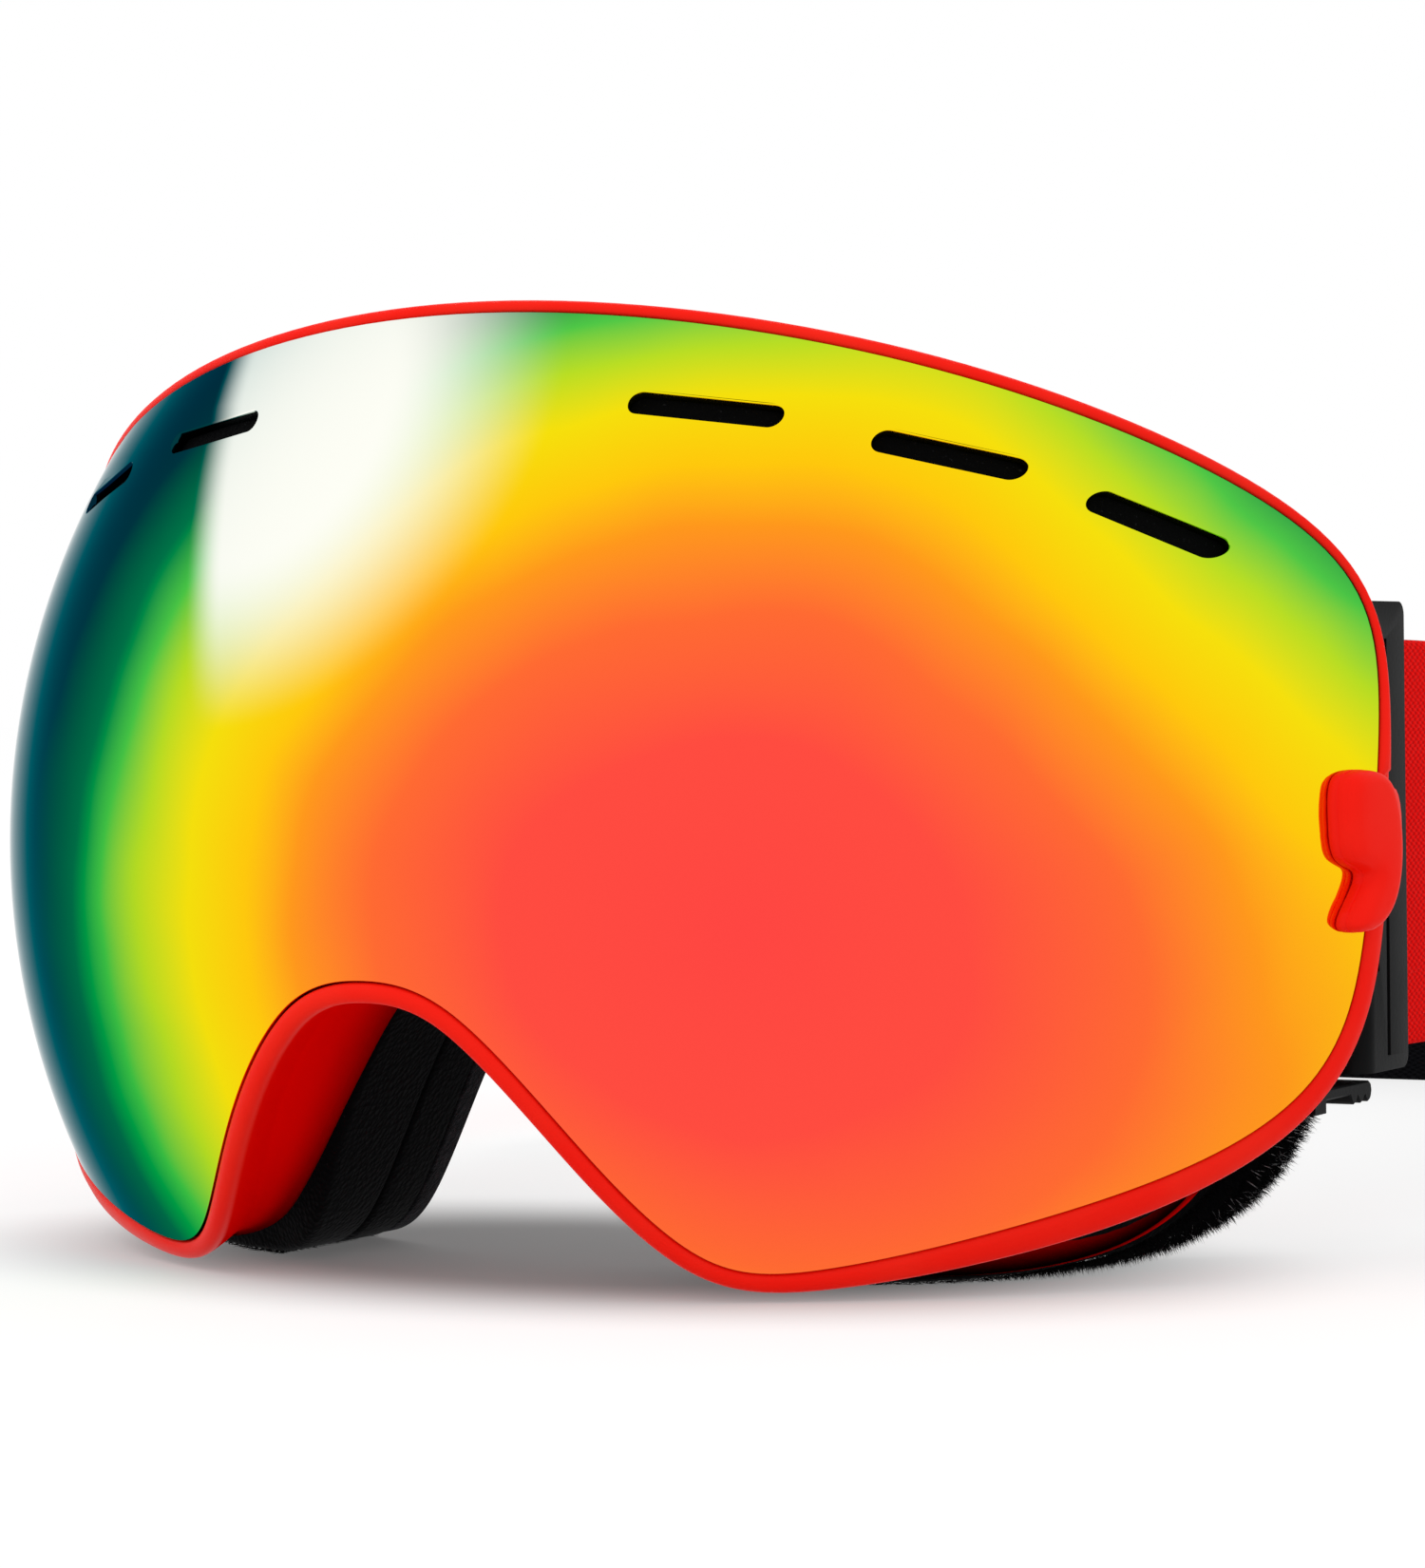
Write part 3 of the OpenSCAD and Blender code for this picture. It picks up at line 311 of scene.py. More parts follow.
# Painted reflection: a near-white patch at the upper left of the lens
painted_glow = oval(place, -22.0, 47.0, 38.0, 33.0).step(0.0, 0.55) * (lens_x + 0.26 * (lens_z - 44.0)).step(-31.0, -25.0)
coating_and_painted_reflection = painted_glow.mix(coating_and_painted_reflection, srgb(255, 255, 246))
feed(shader, "Base Color", coating_and_painted_reflection)
feed(shader, "Roughness", 0.03 + 0.03 * noise(place, 40.0, 2.0))

clear_lens, shader, place = finish("clear_lens", srgb(215, 222, 220), 0.04, Transmission_Weight=1.0, IOR=1.2)
feed(shader, "Roughness", 0.04 + 0.05 * noise(place, 60.0, 2.0))
print("rings of the coating", len(RINGS))

# %% [markdown]
# ## Strap
# The strap is a knitted elastic band: rows of small stitches, red on the outside and black inside. Its UV map is in
# millimetres, along the strap and across it, so the stitches keep their size; an attribute says which face is out.

# %% Knit
strap_finish, shader, place = finish("strap", srgb(236, 17, 13), 0.9, Specular_IOR_Level=0.05)
along_across = place.node("ShaderNodeUVMap", {"uv_map": "cloth"})
along = along_across.node("ShaderNodeSeparateXYZ", None, out=0, Vector=along_across)
across = along_across.node("ShaderNodeSeparateXYZ", None, out=1, Vector=along_across)
STITCH, COURSE = 0.72, 1.5
column = across * (math.tau / STITCH)
row = along * (math.tau / COURSE) + column.math("SINE", column * 0.5) * 0.7
knit = column.math("SINE", column) * row.math("SINE", row) * 0.5 + 0.5
outside = place.node("ShaderNodeAttribute", {"attribute_name": "outside"}, out=2)
worn = noise(place, 160.0, 3.0)
# Painted shade: the colour follows the stitch relief, darker in the pits between stitches, on both faces
out_colour = knit.step(0.1, 0.8).mix(srgb(206, 2, 2), srgb(255, 14, 10))
out_colour = (worn.step(0.45, 0.8) * 0.3).mix(out_colour, srgb(236, 14, 11))
in_colour = knit.step(0.1, 0.8).mix(srgb(4, 4, 6), srgb(19, 19, 22))
feed(shader, "Base Color", outside.step(0.4, 0.6).mix(in_colour, out_colour))
feed(shader, "Roughness", 0.8 + 0.15 * worn)
bump(shader, knit, 0.00025, 0.8)
print("materials", len(bpy.data.materials))

# %% [markdown]
# ## Curves of the goggles
# Two closed outlines shape everything: the edge of the lens and the edge of the frame on the face. Each is a cubic
# B-spline through a control polygon that is mirrored about the nose, with the same points as in the CAD source.

# %% Outlines
LENS_R, LENS_T = 89.7, 1.4
CENTRE = np.array([0.0, LENS_R, 0.0])
LENS_HALF = np.array([(0, -10.7), (9.7, -12.2), (20.1, -25), (29.9, -40.8), (38.7, -42.3), (63.6, -35.9),
                      (80.2, -27.8), (85.6, -10.6), (86, 21.5), (77.8, 38), (47.6, 53.2), (0, 59.9)])
FACE_HALF = np.array([(0, -10.5), (7.5, -12.5), (15.5, -26), (25.5, -37.6), (35.5, -42.8), (58.7, -43.9),
                      (67.5, -36), (70.5, -12), (71, 18), (65.5, 34), (41, 47.5), (0, 53.5)])
FOAM_HALF = np.concatenate([FACE_HALF[:3], [(24, -42.8), (33.5, -44)], FACE_HALF[5:]])
RIM_HALF = np.array([2.4, 2.4, 2.4, 2.4, 2.4, 4.2, 3.0, 3.4, 1.4, 1.9, 1.9, 1.9])
SPAN = 16


def mirrored(half):
    """Half a control polygon from nose to brow, and its mirror image back to the nose."""
    return np.concatenate([half, half[-2:0:-1] * [-1, 1]])


def spline(control, n=SPAN):
    """Closed uniform cubic B-spline: points and slopes, n to a span; each span mixes four neighbours."""
    u = np.arange(n) / n
    weights = np.stack([(1 - u) ** 3, 3 * u**3 - 6 * u**2 + 4, -3 * u**3 + 3 * u**2 + 3 * u + 1, u**3]) / 6
    slopes = np.stack([-((1 - u) ** 2), 3 * u**2 - 4 * u, -3 * u**2 + 2 * u + 1, u**2]) / 2
    four = np.stack([np.roll(control, 1, 0), control, np.roll(control, -1, 0), np.roll(control, -2, 0)])
    return [np.einsum("kn,km...->mn...", w, four).reshape(-1, *control.shape[1:]) for w in (weights, slopes)]


def unit(v):
    """Vectors divided by their own length."""
    return v / np.linalg.norm(v, axis=-1, keepdims=True)


def outward(slope):
    """The normal of an anticlockwise outline: its slope turned right by a quarter."""
    return unit(np.stack([slope[:, 1], -slope[:, 0]], axis=1))


def drawn_in(control, by):
    """A control polygon moved inwards along the mean normal of the two sides at each point."""
    sides = outward(np.roll(control, -1, 0) - control)
    return control - np.reshape(by, (-1, 1)) * unit(sides + np.roll(sides, 1, 0))


def ease(t):
    """From 0 to 1 with a level start and end: 3t squared less 2t cubed."""
    t = np.clip(t, 0, 1)
    return t * t * (3 - 2 * t)


def between(a, b, s):
    """The first where s is 0, the second where it is 1, and straight from one to the other."""
    return a * (1 - s) + b * s


LENS_CONTROL, FACE_CONTROL = mirrored(LENS_HALF), mirrored(FACE_HALF)
lens_edge = spline(LENS_CONTROL)[0]
face_edge, face_slope = spline(FACE_CONTROL)
foam_edge, foam_slope = spline(mirrored(FOAM_HALF))
face_out, foam_out = outward(face_slope), outward(foam_slope)
rim_w = spline(np.concatenate([RIM_HALF, RIM_HALF[-2:0:-1]]))[0]
RING = len(lens_edge)


def brow_share(z):
    """0 at the height of the nose, 1 at the brow, eased between."""
    nose, brow = LENS_HALF[0, 1], LENS_HALF[-1, 1]
    return ease((z - nose) / (brow - nose))


def at_depth(flat, y):
    """Points seen from the front, as x and z, with that y between them."""
    return np.insert(flat, 1, y, axis=1)


def on_sphere(flat, r=LENS_R):
    """Points seen from the front, set on a sphere about the lens centre."""
    return at_depth(flat, LENS_R - np.sqrt(np.maximum(r * r - (flat**2).sum(1), 1.0)))


edge3 = on_sphere(lens_edge)
edge_up = unit(edge3 - CENTRE)
edge_on = unit(np.cross(np.roll(edge3, -1, 0) - np.roll(edge3, 1, 0), edge_up))
FACE_X = face_edge[:, 0].max()
FACE_R, TEMPLE_BEND, FACE_FRONT, BROW_BACK = 95.0, 0.85, 26.0, 4.0
NOSE_HALF, NOSE_FADE, NOSE_FORWARD, FOAM_W = 14.0, 22.0, 5.5, 9.0
face_sag = face_edge[:, 0] ** 2 / (2 * FACE_R) * (1 + TEMPLE_BEND * (face_edge[:, 0] / FACE_X) ** 4)
face_y = FACE_FRONT + face_sag + BROW_BACK * brow_share(face_edge[:, 1])
nose_share = (1 - ease((np.abs(face_edge[:, 0]) - NOSE_HALF) / NOSE_FADE)) * (face_edge[:, 1] < 0)
back_y = face_y - NOSE_FORWARD * nose_share
foam_inner = spline(drawn_in(FACE_CONTROL, FOAM_W))[0]


def rim_ring(d, h):
    """Round the rim: d out from the lens edge along its surface, h out of that surface."""
    return edge3 + np.reshape(d, (-1, 1)) * edge_on + np.reshape(h, (-1, 1)) * edge_up


def face_ring(share, behind, swell=0.0):
    """Round the face: share 0 is the outer edge of the foam and 1 its inner edge, behind the frame's back."""
    flat = face_edge + swell * face_out + share * (foam_inner - face_edge)
    return at_depth(flat, back_y + behind)


print("ring points", RING, "face half width", round(FACE_X, 2))

# %% [markdown]
# ## From points to meshes
# Most pieces are grids of points, closed in one or both directions. One function gives the faces of such a grid, and
# one makes the object, turns its faces outwards, sets its finish and lets it ride on its body.


# %% Mesh makers
def grid(rows, columns, wrap_rows=False, wrap_columns=True):
    """Faces of a grid of points, row by row, and the unwrapped row and column of each corner."""
    r, c = np.meshgrid(np.arange(rows if wrap_rows else rows - 1),
                       np.arange(columns if wrap_columns else columns - 1), indexing="ij")
    corners = np.stack([np.stack([r + a, c + b], -1) for a, b in ((0, 0), (0, 1), (1, 1), (1, 0))], 2)
    corners = corners.reshape(-1, 4, 2)
    return (corners[..., 0] % rows) * columns + corners[..., 1] % columns, corners


def dressed(made, body, material):
    """Gives an object its finish and that finish's slot, and lets it ride on a body if one is given."""
    made.data.materials.append(material)
    if body:
        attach(made, body)
    return made


def piece(name, points, faces, body, material, sharp=40.0, uv=None, marks=None):
    """A mesh object from points in lens millimetres: normals outwards, smooth but for edges sharper than that."""
    mesh = bpy.data.meshes.new(name)
    mesh.from_pydata(placed(points).tolist(), [], faces if isinstance(faces, list) else faces.tolist())
    if uv is not None:
        layer = mesh.uv_layers.new(name="cloth")
        layer.data.foreach_set("uv", np.asarray(uv, np.float32).ravel())
    for key, values in (marks or {}).items():
        mark = mesh.attributes.new(key, "FLOAT", "POINT")
        mark.data.foreach_set("value", np.asarray(values, np.float32))
    work = bmesh.new()
    work.from_mesh(mesh)
    bmesh.ops.recalc_face_normals(work, faces=work.faces)
    work.to_mesh(mesh)
    work.free()
    mesh.shade_smooth()
    if sharp:
        mesh.set_sharp_from_angle(angle=math.radians(sharp))
    return dressed(added(name, mesh), body, material)


def softened(node, width, body, material, segments=3):
    """A copy of a CAD node with its corners rounded: merged, flat faces joined, then a bevel on the sharp edges."""
    mesh = bpy.data.meshes.new(node + "_soft")
    work = bmesh.new()
    work.from_mesh(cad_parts[node].data)
    bmesh.ops.remove_doubles(work, verts=work.verts, dist=2e-6)
    bmesh.ops.dissolve_limit(work, angle_limit=math.radians(1.5), verts=work.verts, edges=work.edges)
    bmesh.ops.recalc_face_normals(work, faces=work.faces)
    work.to_mesh(mesh)
    work.free()
    mesh.shade_smooth()
    made = dressed(added(node + "_soft", mesh), body, material)
    edges = made.modifiers.new("edges", "BEVEL")
    edges.width = width / 1000.0
    edges.segments = segments
    edges.limit_method = "ANGLE"
    edges.angle_limit = math.radians(35)
    edges.harden_normals = True
    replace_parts(made, node)
    return made


SIDES = ((1, "left"), (-1, "right"))
print("nodes to dress", len(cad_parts))

# %% [markdown]
# ## Plates on the sphere
# The lens, the inner lens, the gasket and the filter pads are all pieces of a hollow sphere, cut to an outline seen
# from the front. A constrained triangulation fills the outline and leaves the slots open; the points are then set
# on the sphere, so their true normals are known and the mirror is perfectly smooth. Lengths are in millimetres.


# %% Sphere plates
def inside(flat, loop):
    """True for points inside a closed outline, by counting how often a ray to the right crosses it."""
    a, b = loop[None], np.roll(loop, -1, 0)[None]
    x, z = flat[:, None, 0], flat[:, None, 1]
    crosses = (a[..., 1] > z) != (b[..., 1] > z)
    run = np.where(crosses, b[..., 1] - a[..., 1], 1.0)
    return (crosses & (x < a[..., 0] + (z - a[..., 1]) / run * (b[..., 0] - a[..., 0]))).sum(1) % 2 == 1


def moved_out(loop, by):
    """A closed outline moved along its own normals; an outline that runs the other way moves the other way."""
    return loop + by * outward(np.roll(loop, -1, 0) - np.roll(loop, 1, 0))


def filled(loops, fill):
    """Constrained triangulation of closed outlines and loose points, kept inside loops[0] and outside the others.
    Gives the points, the triangles, and the new number of each point of the outlines, outline by outline."""
    starts = np.cumsum([0] + [len(loop) for loop in loops])
    rims = [np.arange(s, e) for s, e in zip(starts, starts[1:])]
    wires = np.concatenate([np.stack([r, np.roll(r, -1)], 1) for r in rims])
    flat = np.concatenate(loops + [fill])
    made = delaunay_2d_cdt([Vector(p) for p in flat], wires.tolist(), [], 0, 1e-6)
    points, triangles = np.array([tuple(p) for p in made[0]]), np.array(made[2])
    where = np.zeros(len(flat), int)
    where[np.concatenate(made[3]).astype(int)] = np.repeat(np.arange(len(points)), [len(o) for o in made[3]])
    middle = points[triangles].mean(1)
    keep = inside(middle, loops[0])
    for hole in loops[1:]:
        keep &= ~inside(middle, hole)
    return points, triangles[keep], [where[r] for r in rims]


def away_from(flat, loop):
    """How far each point is from the nearest point of an outline."""
    return np.sqrt(np.min(((flat[:, None] - loop[None]) ** 2).sum(2), axis=1))


def grid_inside(loops, step, clear):
    """A grid of staggered points inside loops[0] and outside the others, that far clear of them all."""
    low, high = loops[0].min(0), loops[0].max(0)
    gx, gz = np.meshgrid(np.arange(low[0], high[0], step), np.arange(low[1], high[1], step * 0.87))
    gx = gx + (np.arange(gx.shape[0]) % 2)[:, None] * step / 2
    fill = np.stack([gx.ravel(), gz.ravel()], 1)
    fill = fill[inside(fill, loops[0])]
    for hole in loops[1:]:
        fill = fill[~inside(fill, hole)]
    return fill[away_from(fill, np.concatenate(loops)) > clear]


def sphere_plate(name, loops, r_out, r_in, material, edge, step):
    """Between two spheres about the lens centre, inside loops[0] and outside the others, with rounded edges.
    Loops run anticlockwise, so the first is drawn in by edge and the holes, clockwise, are drawn away."""
    shrunk = [moved_out(loop, -edge) for loop in loops]
    points, triangles, rims = filled(shrunk, grid_inside(shrunk, step, 0.45 * step))
    ray = unit(on_sphere(points, r_out) - CENTRE)
    n = len(points)
    shell = [CENTRE + ray * r_out, CENTRE + ray * r_in]
    faces = triangles.tolist() + (triangles[:, ::-1] + n).tolist()
    normals = [ray, -ray]
    count = 2 * n
    for loop, rim in zip(loops, rims):
        side = unit(on_sphere(loop, r_out) - CENTRE)
        m = len(loop)
        shell += [CENTRE + side * (r_out - edge), CENTRE + side * (r_in + edge)]
        normals += [np.zeros((2 * m, 3))]
        chain = [rim, count + np.arange(m), count + m + np.arange(m), rim + n]
        for a, b in zip(chain, chain[1:]):
            faces += np.stack([a, b, np.roll(b, -1), np.roll(a, -1)], 1).tolist()
        count += 2 * m
    made = piece(name, np.concatenate(shell), faces, "lens", material, sharp=None)
    made.data.normals_split_custom_set_from_vertices(np.concatenate(normals).tolist())
    return made


print("points inside the lens edge, 4 mm apart:", len(grid_inside([lens_edge], 4.0, 1.0)))

# %% [markdown]
# ## The lens and what is behind it
# Three slots on each side let air out at the brow, with a filter pad behind each. The inner lens stands off the outer
# one on a foam gasket, so that still air between them keeps the inside clear. All of them are plates on the sphere.

# %% Lenses, gasket and pads
SLOT_H, SLOT_LEN = 2.3, 16.0
SLOTS = ((30.5, 8.5, 7.6), (52.7, 7.4, 15.2), (69.3, 5.9, 29.5))
coarse, coarse_slope = spline(LENS_CONTROL, 4)
coarse_out = outward(coarse_slope)


def slot_loop(x, inset, fall, side=1, margin=0.0, n=20):
    """A slot that far in from the lens edge: a rectangle with round ends, clockwise, falling outwards by degrees and
    foreshortened by the lens's slope."""
    line = coarse - inset * coarse_out
    i = np.argmin(np.abs(line[:, 0] - x) + np.where(line[:, 1] > 0, 0.0, LENS_R))
    edge_way = np.array([coarse_out[i, 1], -coarse_out[i, 0]])
    middle = line[i] + (x - line[i, 0]) * edge_way / edge_way[0]
    along = np.array([math.cos(math.radians(fall)), -math.sin(math.radians(fall))])
    up = np.array([-along[1], along[0]])
    slope = middle @ along / math.sqrt(LENS_R**2 - middle @ middle)
    half = (SLOT_LEN / math.sqrt(1 + slope**2) - SLOT_H) / 2
    turn = np.linspace(math.pi / 2, -math.pi / 2, n)
    radius = SLOT_H / 2 + margin
    right_end = (half + radius * np.cos(turn))[:, None] * along + (radius * np.sin(turn))[:, None] * up
    loop = middle + np.concatenate([right_end, -right_end])
    return loop if side > 0 else (loop * [-1, 1])[::-1]


slots = [slot_loop(*slot, s) for s in (1, -1) for slot in SLOTS]
BACK_R, AIR_GAP, INNER_T, INSET, BROW_INSET = LENS_R - LENS_T, 5.8, 0.9, 10.0, 5.0
PAD_T, PAD_MARGIN, GASKET_W, GLUE = 3.05, 0.8, 3.5, 0.05
outer_lens = sphere_plate("lens_mirror", [lens_edge] + slots, LENS_R, BACK_R, mirror_lens, edge=0.12, step=2.6)
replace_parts(outer_lens, "outer_lens")
INNER_R = BACK_R - AIR_GAP
inner_control = drawn_in(LENS_CONTROL, INSET + BROW_INSET * brow_share(LENS_CONTROL[:, 1]))
inner_edge = spline(inner_control, 10)[0]
gasket_edge = spline(drawn_in(inner_control, GASKET_W), 10)[0]
inner_lens = sphere_plate("lens_clear", [inner_edge], INNER_R, INNER_R - INNER_T, clear_lens, edge=0.1, step=4.0)
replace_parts(inner_lens, "inner_lens")
gasket = sphere_plate("lens_gasket_foam", [inner_edge, gasket_edge[::-1]], BACK_R - GLUE, INNER_R + GLUE, foam_finish,
                      edge=0.5, step=2.0)
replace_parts(gasket, "lens_gasket")
pads = [sphere_plate(f"slot_pad_{i + 1}", [slot_loop(*SLOTS[i % 3], 1 if i < 3 else -1, PAD_MARGIN)[::-1]],
                     BACK_R - GLUE, BACK_R - PAD_T, foam_finish, edge=0.3, step=1.2) for i in range(6)]
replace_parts(pads[0], "lens_vent_pads")
print("lens triangles", len(outer_lens.data.polygons), "slots", len(slots))

# %% [markdown]
# ## The red frame
# The frame is one moulding: a rounded rim round the lens, a seat behind it, a wall that draws in to the face and a
# flange for the foam. Its section is carried round the two outlines. The wall has vent windows, so the cells of the
# grid there are left out and the cut edges are closed from the outer wall to the inner one.

# %% Frame section
SEAT_H, SEAT_T, SEAT_W, LENS_CLEAR = -1.8, 2.0, 4.5, 0.25
RIM_BACK, WALL_T, RAIL, FLANGE, FLANGE_T = 3.2, 2.3, 2.5, 5.5, 2.0
low_half = lens_edge[:, 1] < 0
window_from = np.where(low_half, 0.1, 0.3)[:, None]
window_to = np.where(low_half, 0.97, 0.78)[:, None]
LATCH_Z, LATCH_X = (-1.82, 7.32), 70.0
CHAMFER_D, CHAMFER_H, CHAMFER_FALL = 0.1, 0.2, 1.17
rim_back_ring = rim_ring(rim_w - 0.3, SEAT_H - RIM_BACK)
rail_ring = face_ring(0.0, -RAIL)
wall_in_front = rim_ring(-WALL_T, SEAT_H - SEAT_T)
wall_in_back = at_depth(face_edge - WALL_T * face_out, back_y - RAIL - WALL_T)
# Beside the latch the rim is chamfered, so that the latch's arm can swing through it
in_notch = (edge3[:, 2] > LATCH_Z[0]) & (edge3[:, 2] < LATCH_Z[1]) & (np.abs(edge3[:, 0]) > LATCH_X)


def rim_point(d, h):
    """A ring of the rim; in the notch its height stays under a slope that falls outwards."""
    d = np.broadcast_to(d, (RING,))
    chamfer = CHAMFER_H - (d - CHAMFER_D) * CHAMFER_FALL
    return rim_ring(d, np.where(in_notch, np.minimum(h, chamfer), h))


section = [rim_point(LENS_CLEAR, -0.9), rim_point(LENS_CLEAR, -0.3), rim_point(LENS_CLEAR + 0.12, -0.05),
           rim_point(0.25 * rim_w + 0.25, 0.16), rim_point(0.5 * rim_w + 0.1, 0.26), rim_point(rim_w - 0.55, 0.16),
           rim_point(rim_w - 0.25, -0.06), rim_point(rim_w - 0.07, -0.4), rim_point(rim_w, -0.9),
           rim_point(rim_w, -1.6), rim_point(rim_w - 0.05, -2.6), rim_point(rim_w - 0.3, SEAT_H - RIM_BACK)]
OUT_ROW = len(section)
section += [between(rim_back_ring, rail_ring, s) for s in (0.04, window_from, window_to, 0.99)]
section += [rail_ring, face_ring(0.0, -0.5 * RAIL, 0.12), face_ring(0.0, -0.25), face_ring(0.03, 0.0),
            face_ring(FLANGE / FOAM_W, 0.0), face_ring(FLANGE / FOAM_W, -FLANGE_T)]
IN_ROW = len(section) + 1
section += [wall_in_back] + [between(wall_in_front, wall_in_back, s) for s in (0.99, window_to, window_from, 0.04)]
section += [wall_in_front, rim_ring(-SEAT_W, SEAT_H - SEAT_T), rim_ring(-SEAT_W, SEAT_H),
            rim_ring(LENS_CLEAR - 0.3, SEAT_H), rim_point(LENS_CLEAR, SEAT_H + 0.3)]
print("rows in the section", len(section))

# %% [markdown]
# ### Windows and painted shade
# A window is a run of cells left out of the outer and the inner wall, given by its first and last station, four to a
# span of the outline: two long ones in the sill and four at the brow. The attribute that the red plastic reads, which
# makes the wall matte and paints shade into its colour, is set here row by row.

# %% Frame moulding
WINDOWS = [(16, 23), (65, 72), (38, 40), (41, 43), (45, 47), (48, 50)]


def columns(window):
    """The columns of the grid from a window's first station to its last."""
    return np.arange(window[0] * SPAN // 4, window[1] * SPAN // 4 + 1)


window_columns = np.concatenate([columns(window)[:-1] for window in WINDOWS])
faces, corners = grid(len(section), RING, True, True)
row, column = corners[:, 0, 0], corners[:, 0, 1]
outer_cell, inner_cell = OUT_ROW + 1, IN_ROW + 1
open_cell = np.isin(row, (outer_cell, inner_cell)) & np.isin(column, window_columns)
faces = faces[~open_cell].tolist()
for window in WINDOWS:
    c = columns(window)
    low_out, high_out = outer_cell * RING + c, (outer_cell + 1) * RING + c
    high_in, low_in = inner_cell * RING + c, (inner_cell + 1) * RING + c
    for first, second in ((low_out, low_in), (high_in, high_out)):
        faces += np.stack([first[:-1], first[1:], second[1:], second[:-1]], 1).tolist()
    faces += np.stack([edge[[0, -1]] for edge in (low_out, high_out, high_in, low_in)], 1).tolist()
# Painted shade in the plastic's colour: none on the rim, growing over the wall towards the face, dark red inside,
# and black along the sill under its windows, painted where the sill lies in shade
RIM_PAINTED_SHADE, INNER_PAINTED_SHADE = 0.0, 0.72
WALL_PAINTED_SHADE = np.array([0.09, 0.2, 0.22, 0.25, 0.28, 0.3, 0.66, 0.66, 0.68])
SILL_PAINTED_SHADE = np.array([1.0, 1.0, 0.8, 0.6, 0.6])
shade = np.full((len(section), RING), INNER_PAINTED_SHADE)
shade[:OUT_ROW - 4] = RIM_PAINTED_SHADE
shade[OUT_ROW - 4:OUT_ROW + 5] = WALL_PAINTED_SHADE[:, None]
sill_columns = np.concatenate([columns(window) for window in WINDOWS[:2]])
shade[OUT_ROW + 2:OUT_ROW + 7, sill_columns] = SILL_PAINTED_SHADE[:, None]
frame_rim = piece("frame_moulding", np.concatenate(section), faces, "frame", red_plastic, sharp=50.0,
                  marks={"deep_in": shade.ravel()})
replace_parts(frame_rim, "frame_shell")
print("frame faces", len(frame_rim.data.polygons), "windows", len(WINDOWS))

# %% [markdown]
# ## Lugs on the frame
# The outriggers and latches turn on pins that sit in lugs on the frame. Each lug is an eye on a short arm: seen from
# above, a straight-sided drop whose round end is the eye, pushed up along the pin.

# %% Lugs
PIN, PIN_R = np.array([78.8229, 72.8376]), 2.4
LATCH_PIN, LATCH_R = np.array([83.174, 68.2924]), 1.5
HINGE_LUGS, HINGE_LUG_HALF = (-9.8, 12.2), 3
LATCH_LUGS, LATCH_LUG_H = (-4.45, 7.35), 2.6


def lug_points(eye, root, radius, z0, z1, n=24, edge=0.3):
    """A drop-shaped prism: half a circle about the eye, straight sides to the root, edges drawn in at both ends."""
    way = unit(np.asarray(root) - eye)
    across = np.array([-way[1], way[0]])
    turn = np.linspace(math.pi / 2, 1.5 * math.pi, n)
    ring = eye + radius * (np.cos(turn)[:, None] * way + np.sin(turn)[:, None] * across)
    ring = np.concatenate([ring, [root - radius * across, root + radius * across]])
    middle = ring.mean(0)
    rows = []
    for z, draw in ((z0, edge), (z0 + edge * 0.3, edge * 0.3), (z0 + edge, 0), (z1 - edge, 0),
                    (z1 - edge * 0.3, edge * 0.3), (z1, edge)):
        loop = ring + draw * unit(middle - ring)
        rows.append(np.column_stack([loop, np.full(len(loop), z)]))
    return np.stack(rows)


def prism(name, rows, s, *rest, **more):
    """A stack of equal loops, closed at both ends; s = -1 gives the mirror image."""
    m, n = rows.shape[:2]
    faces = grid(m, n, False, True)[0].tolist() + [list(range(n)), list(range((m - 1) * n, m * n))]
    return piece(name, rows.reshape(-1, 3) * [s, 1, 1], faces, *rest, **more)


def side_point(z, d, h):
    """The point of the left rim nearest that height, d and h from the lens edge, seen from above."""
    i = np.argmin(np.abs(lens_edge[:, 1] - z) + np.where(lens_edge[:, 0] > 60, 0, 1e3))
    return (edge3[i] + d * rim_w[i] * edge_on[i] + h * edge_up[i])[:2], i


for s, name in SIDES:
    for k, z in enumerate(HINGE_LUGS):
        i = side_point(z, 0.0, 0.0)[1]
        x = PIN[0] - PIN_R
        share = (rim_back_ring[i, 0] - x) / (rim_back_ring[i, 0] - rail_ring[i, 0])
        root = np.array([x, between(rim_back_ring[i], rail_ring[i], share)[1] - WALL_T / 2])
        eye = lug_points(PIN, root, PIN_R, z - HINGE_LUG_HALF, z + HINGE_LUG_HALF)
        prism(f"hinge_lug_{name}_{k + 1}", eye, s, "frame", red_plastic)
    for k, z in enumerate(LATCH_LUGS):
        root = side_point(z + LATCH_LUG_H / 2, 0.5, SEAT_H - RIM_BACK / 2)[0]
        eye = lug_points(LATCH_PIN, root, LATCH_R, z, z + LATCH_LUG_H, edge=0.2)
        prism(f"latch_lug_{name}_{k + 1}", eye, s, "frame", red_plastic)
print("lugs on each side", len(HINGE_LUGS) + len(LATCH_LUGS))

# %% [markdown]
# ### Guides of the release tabs
# Each release tab slides in a small sleeve below the outrigger: a rectangular tube, made of four loops.

# %% Guides
TAB_X, TAB_Z, TAB_W, TAB_T = 76.9229, -25.95, 3.6, 1.9
GUIDE_FROM, GUIDE_TO, GUIDE_PLAY, GUIDE_WALL = 60.6, 63.6, 0.2, 0.35


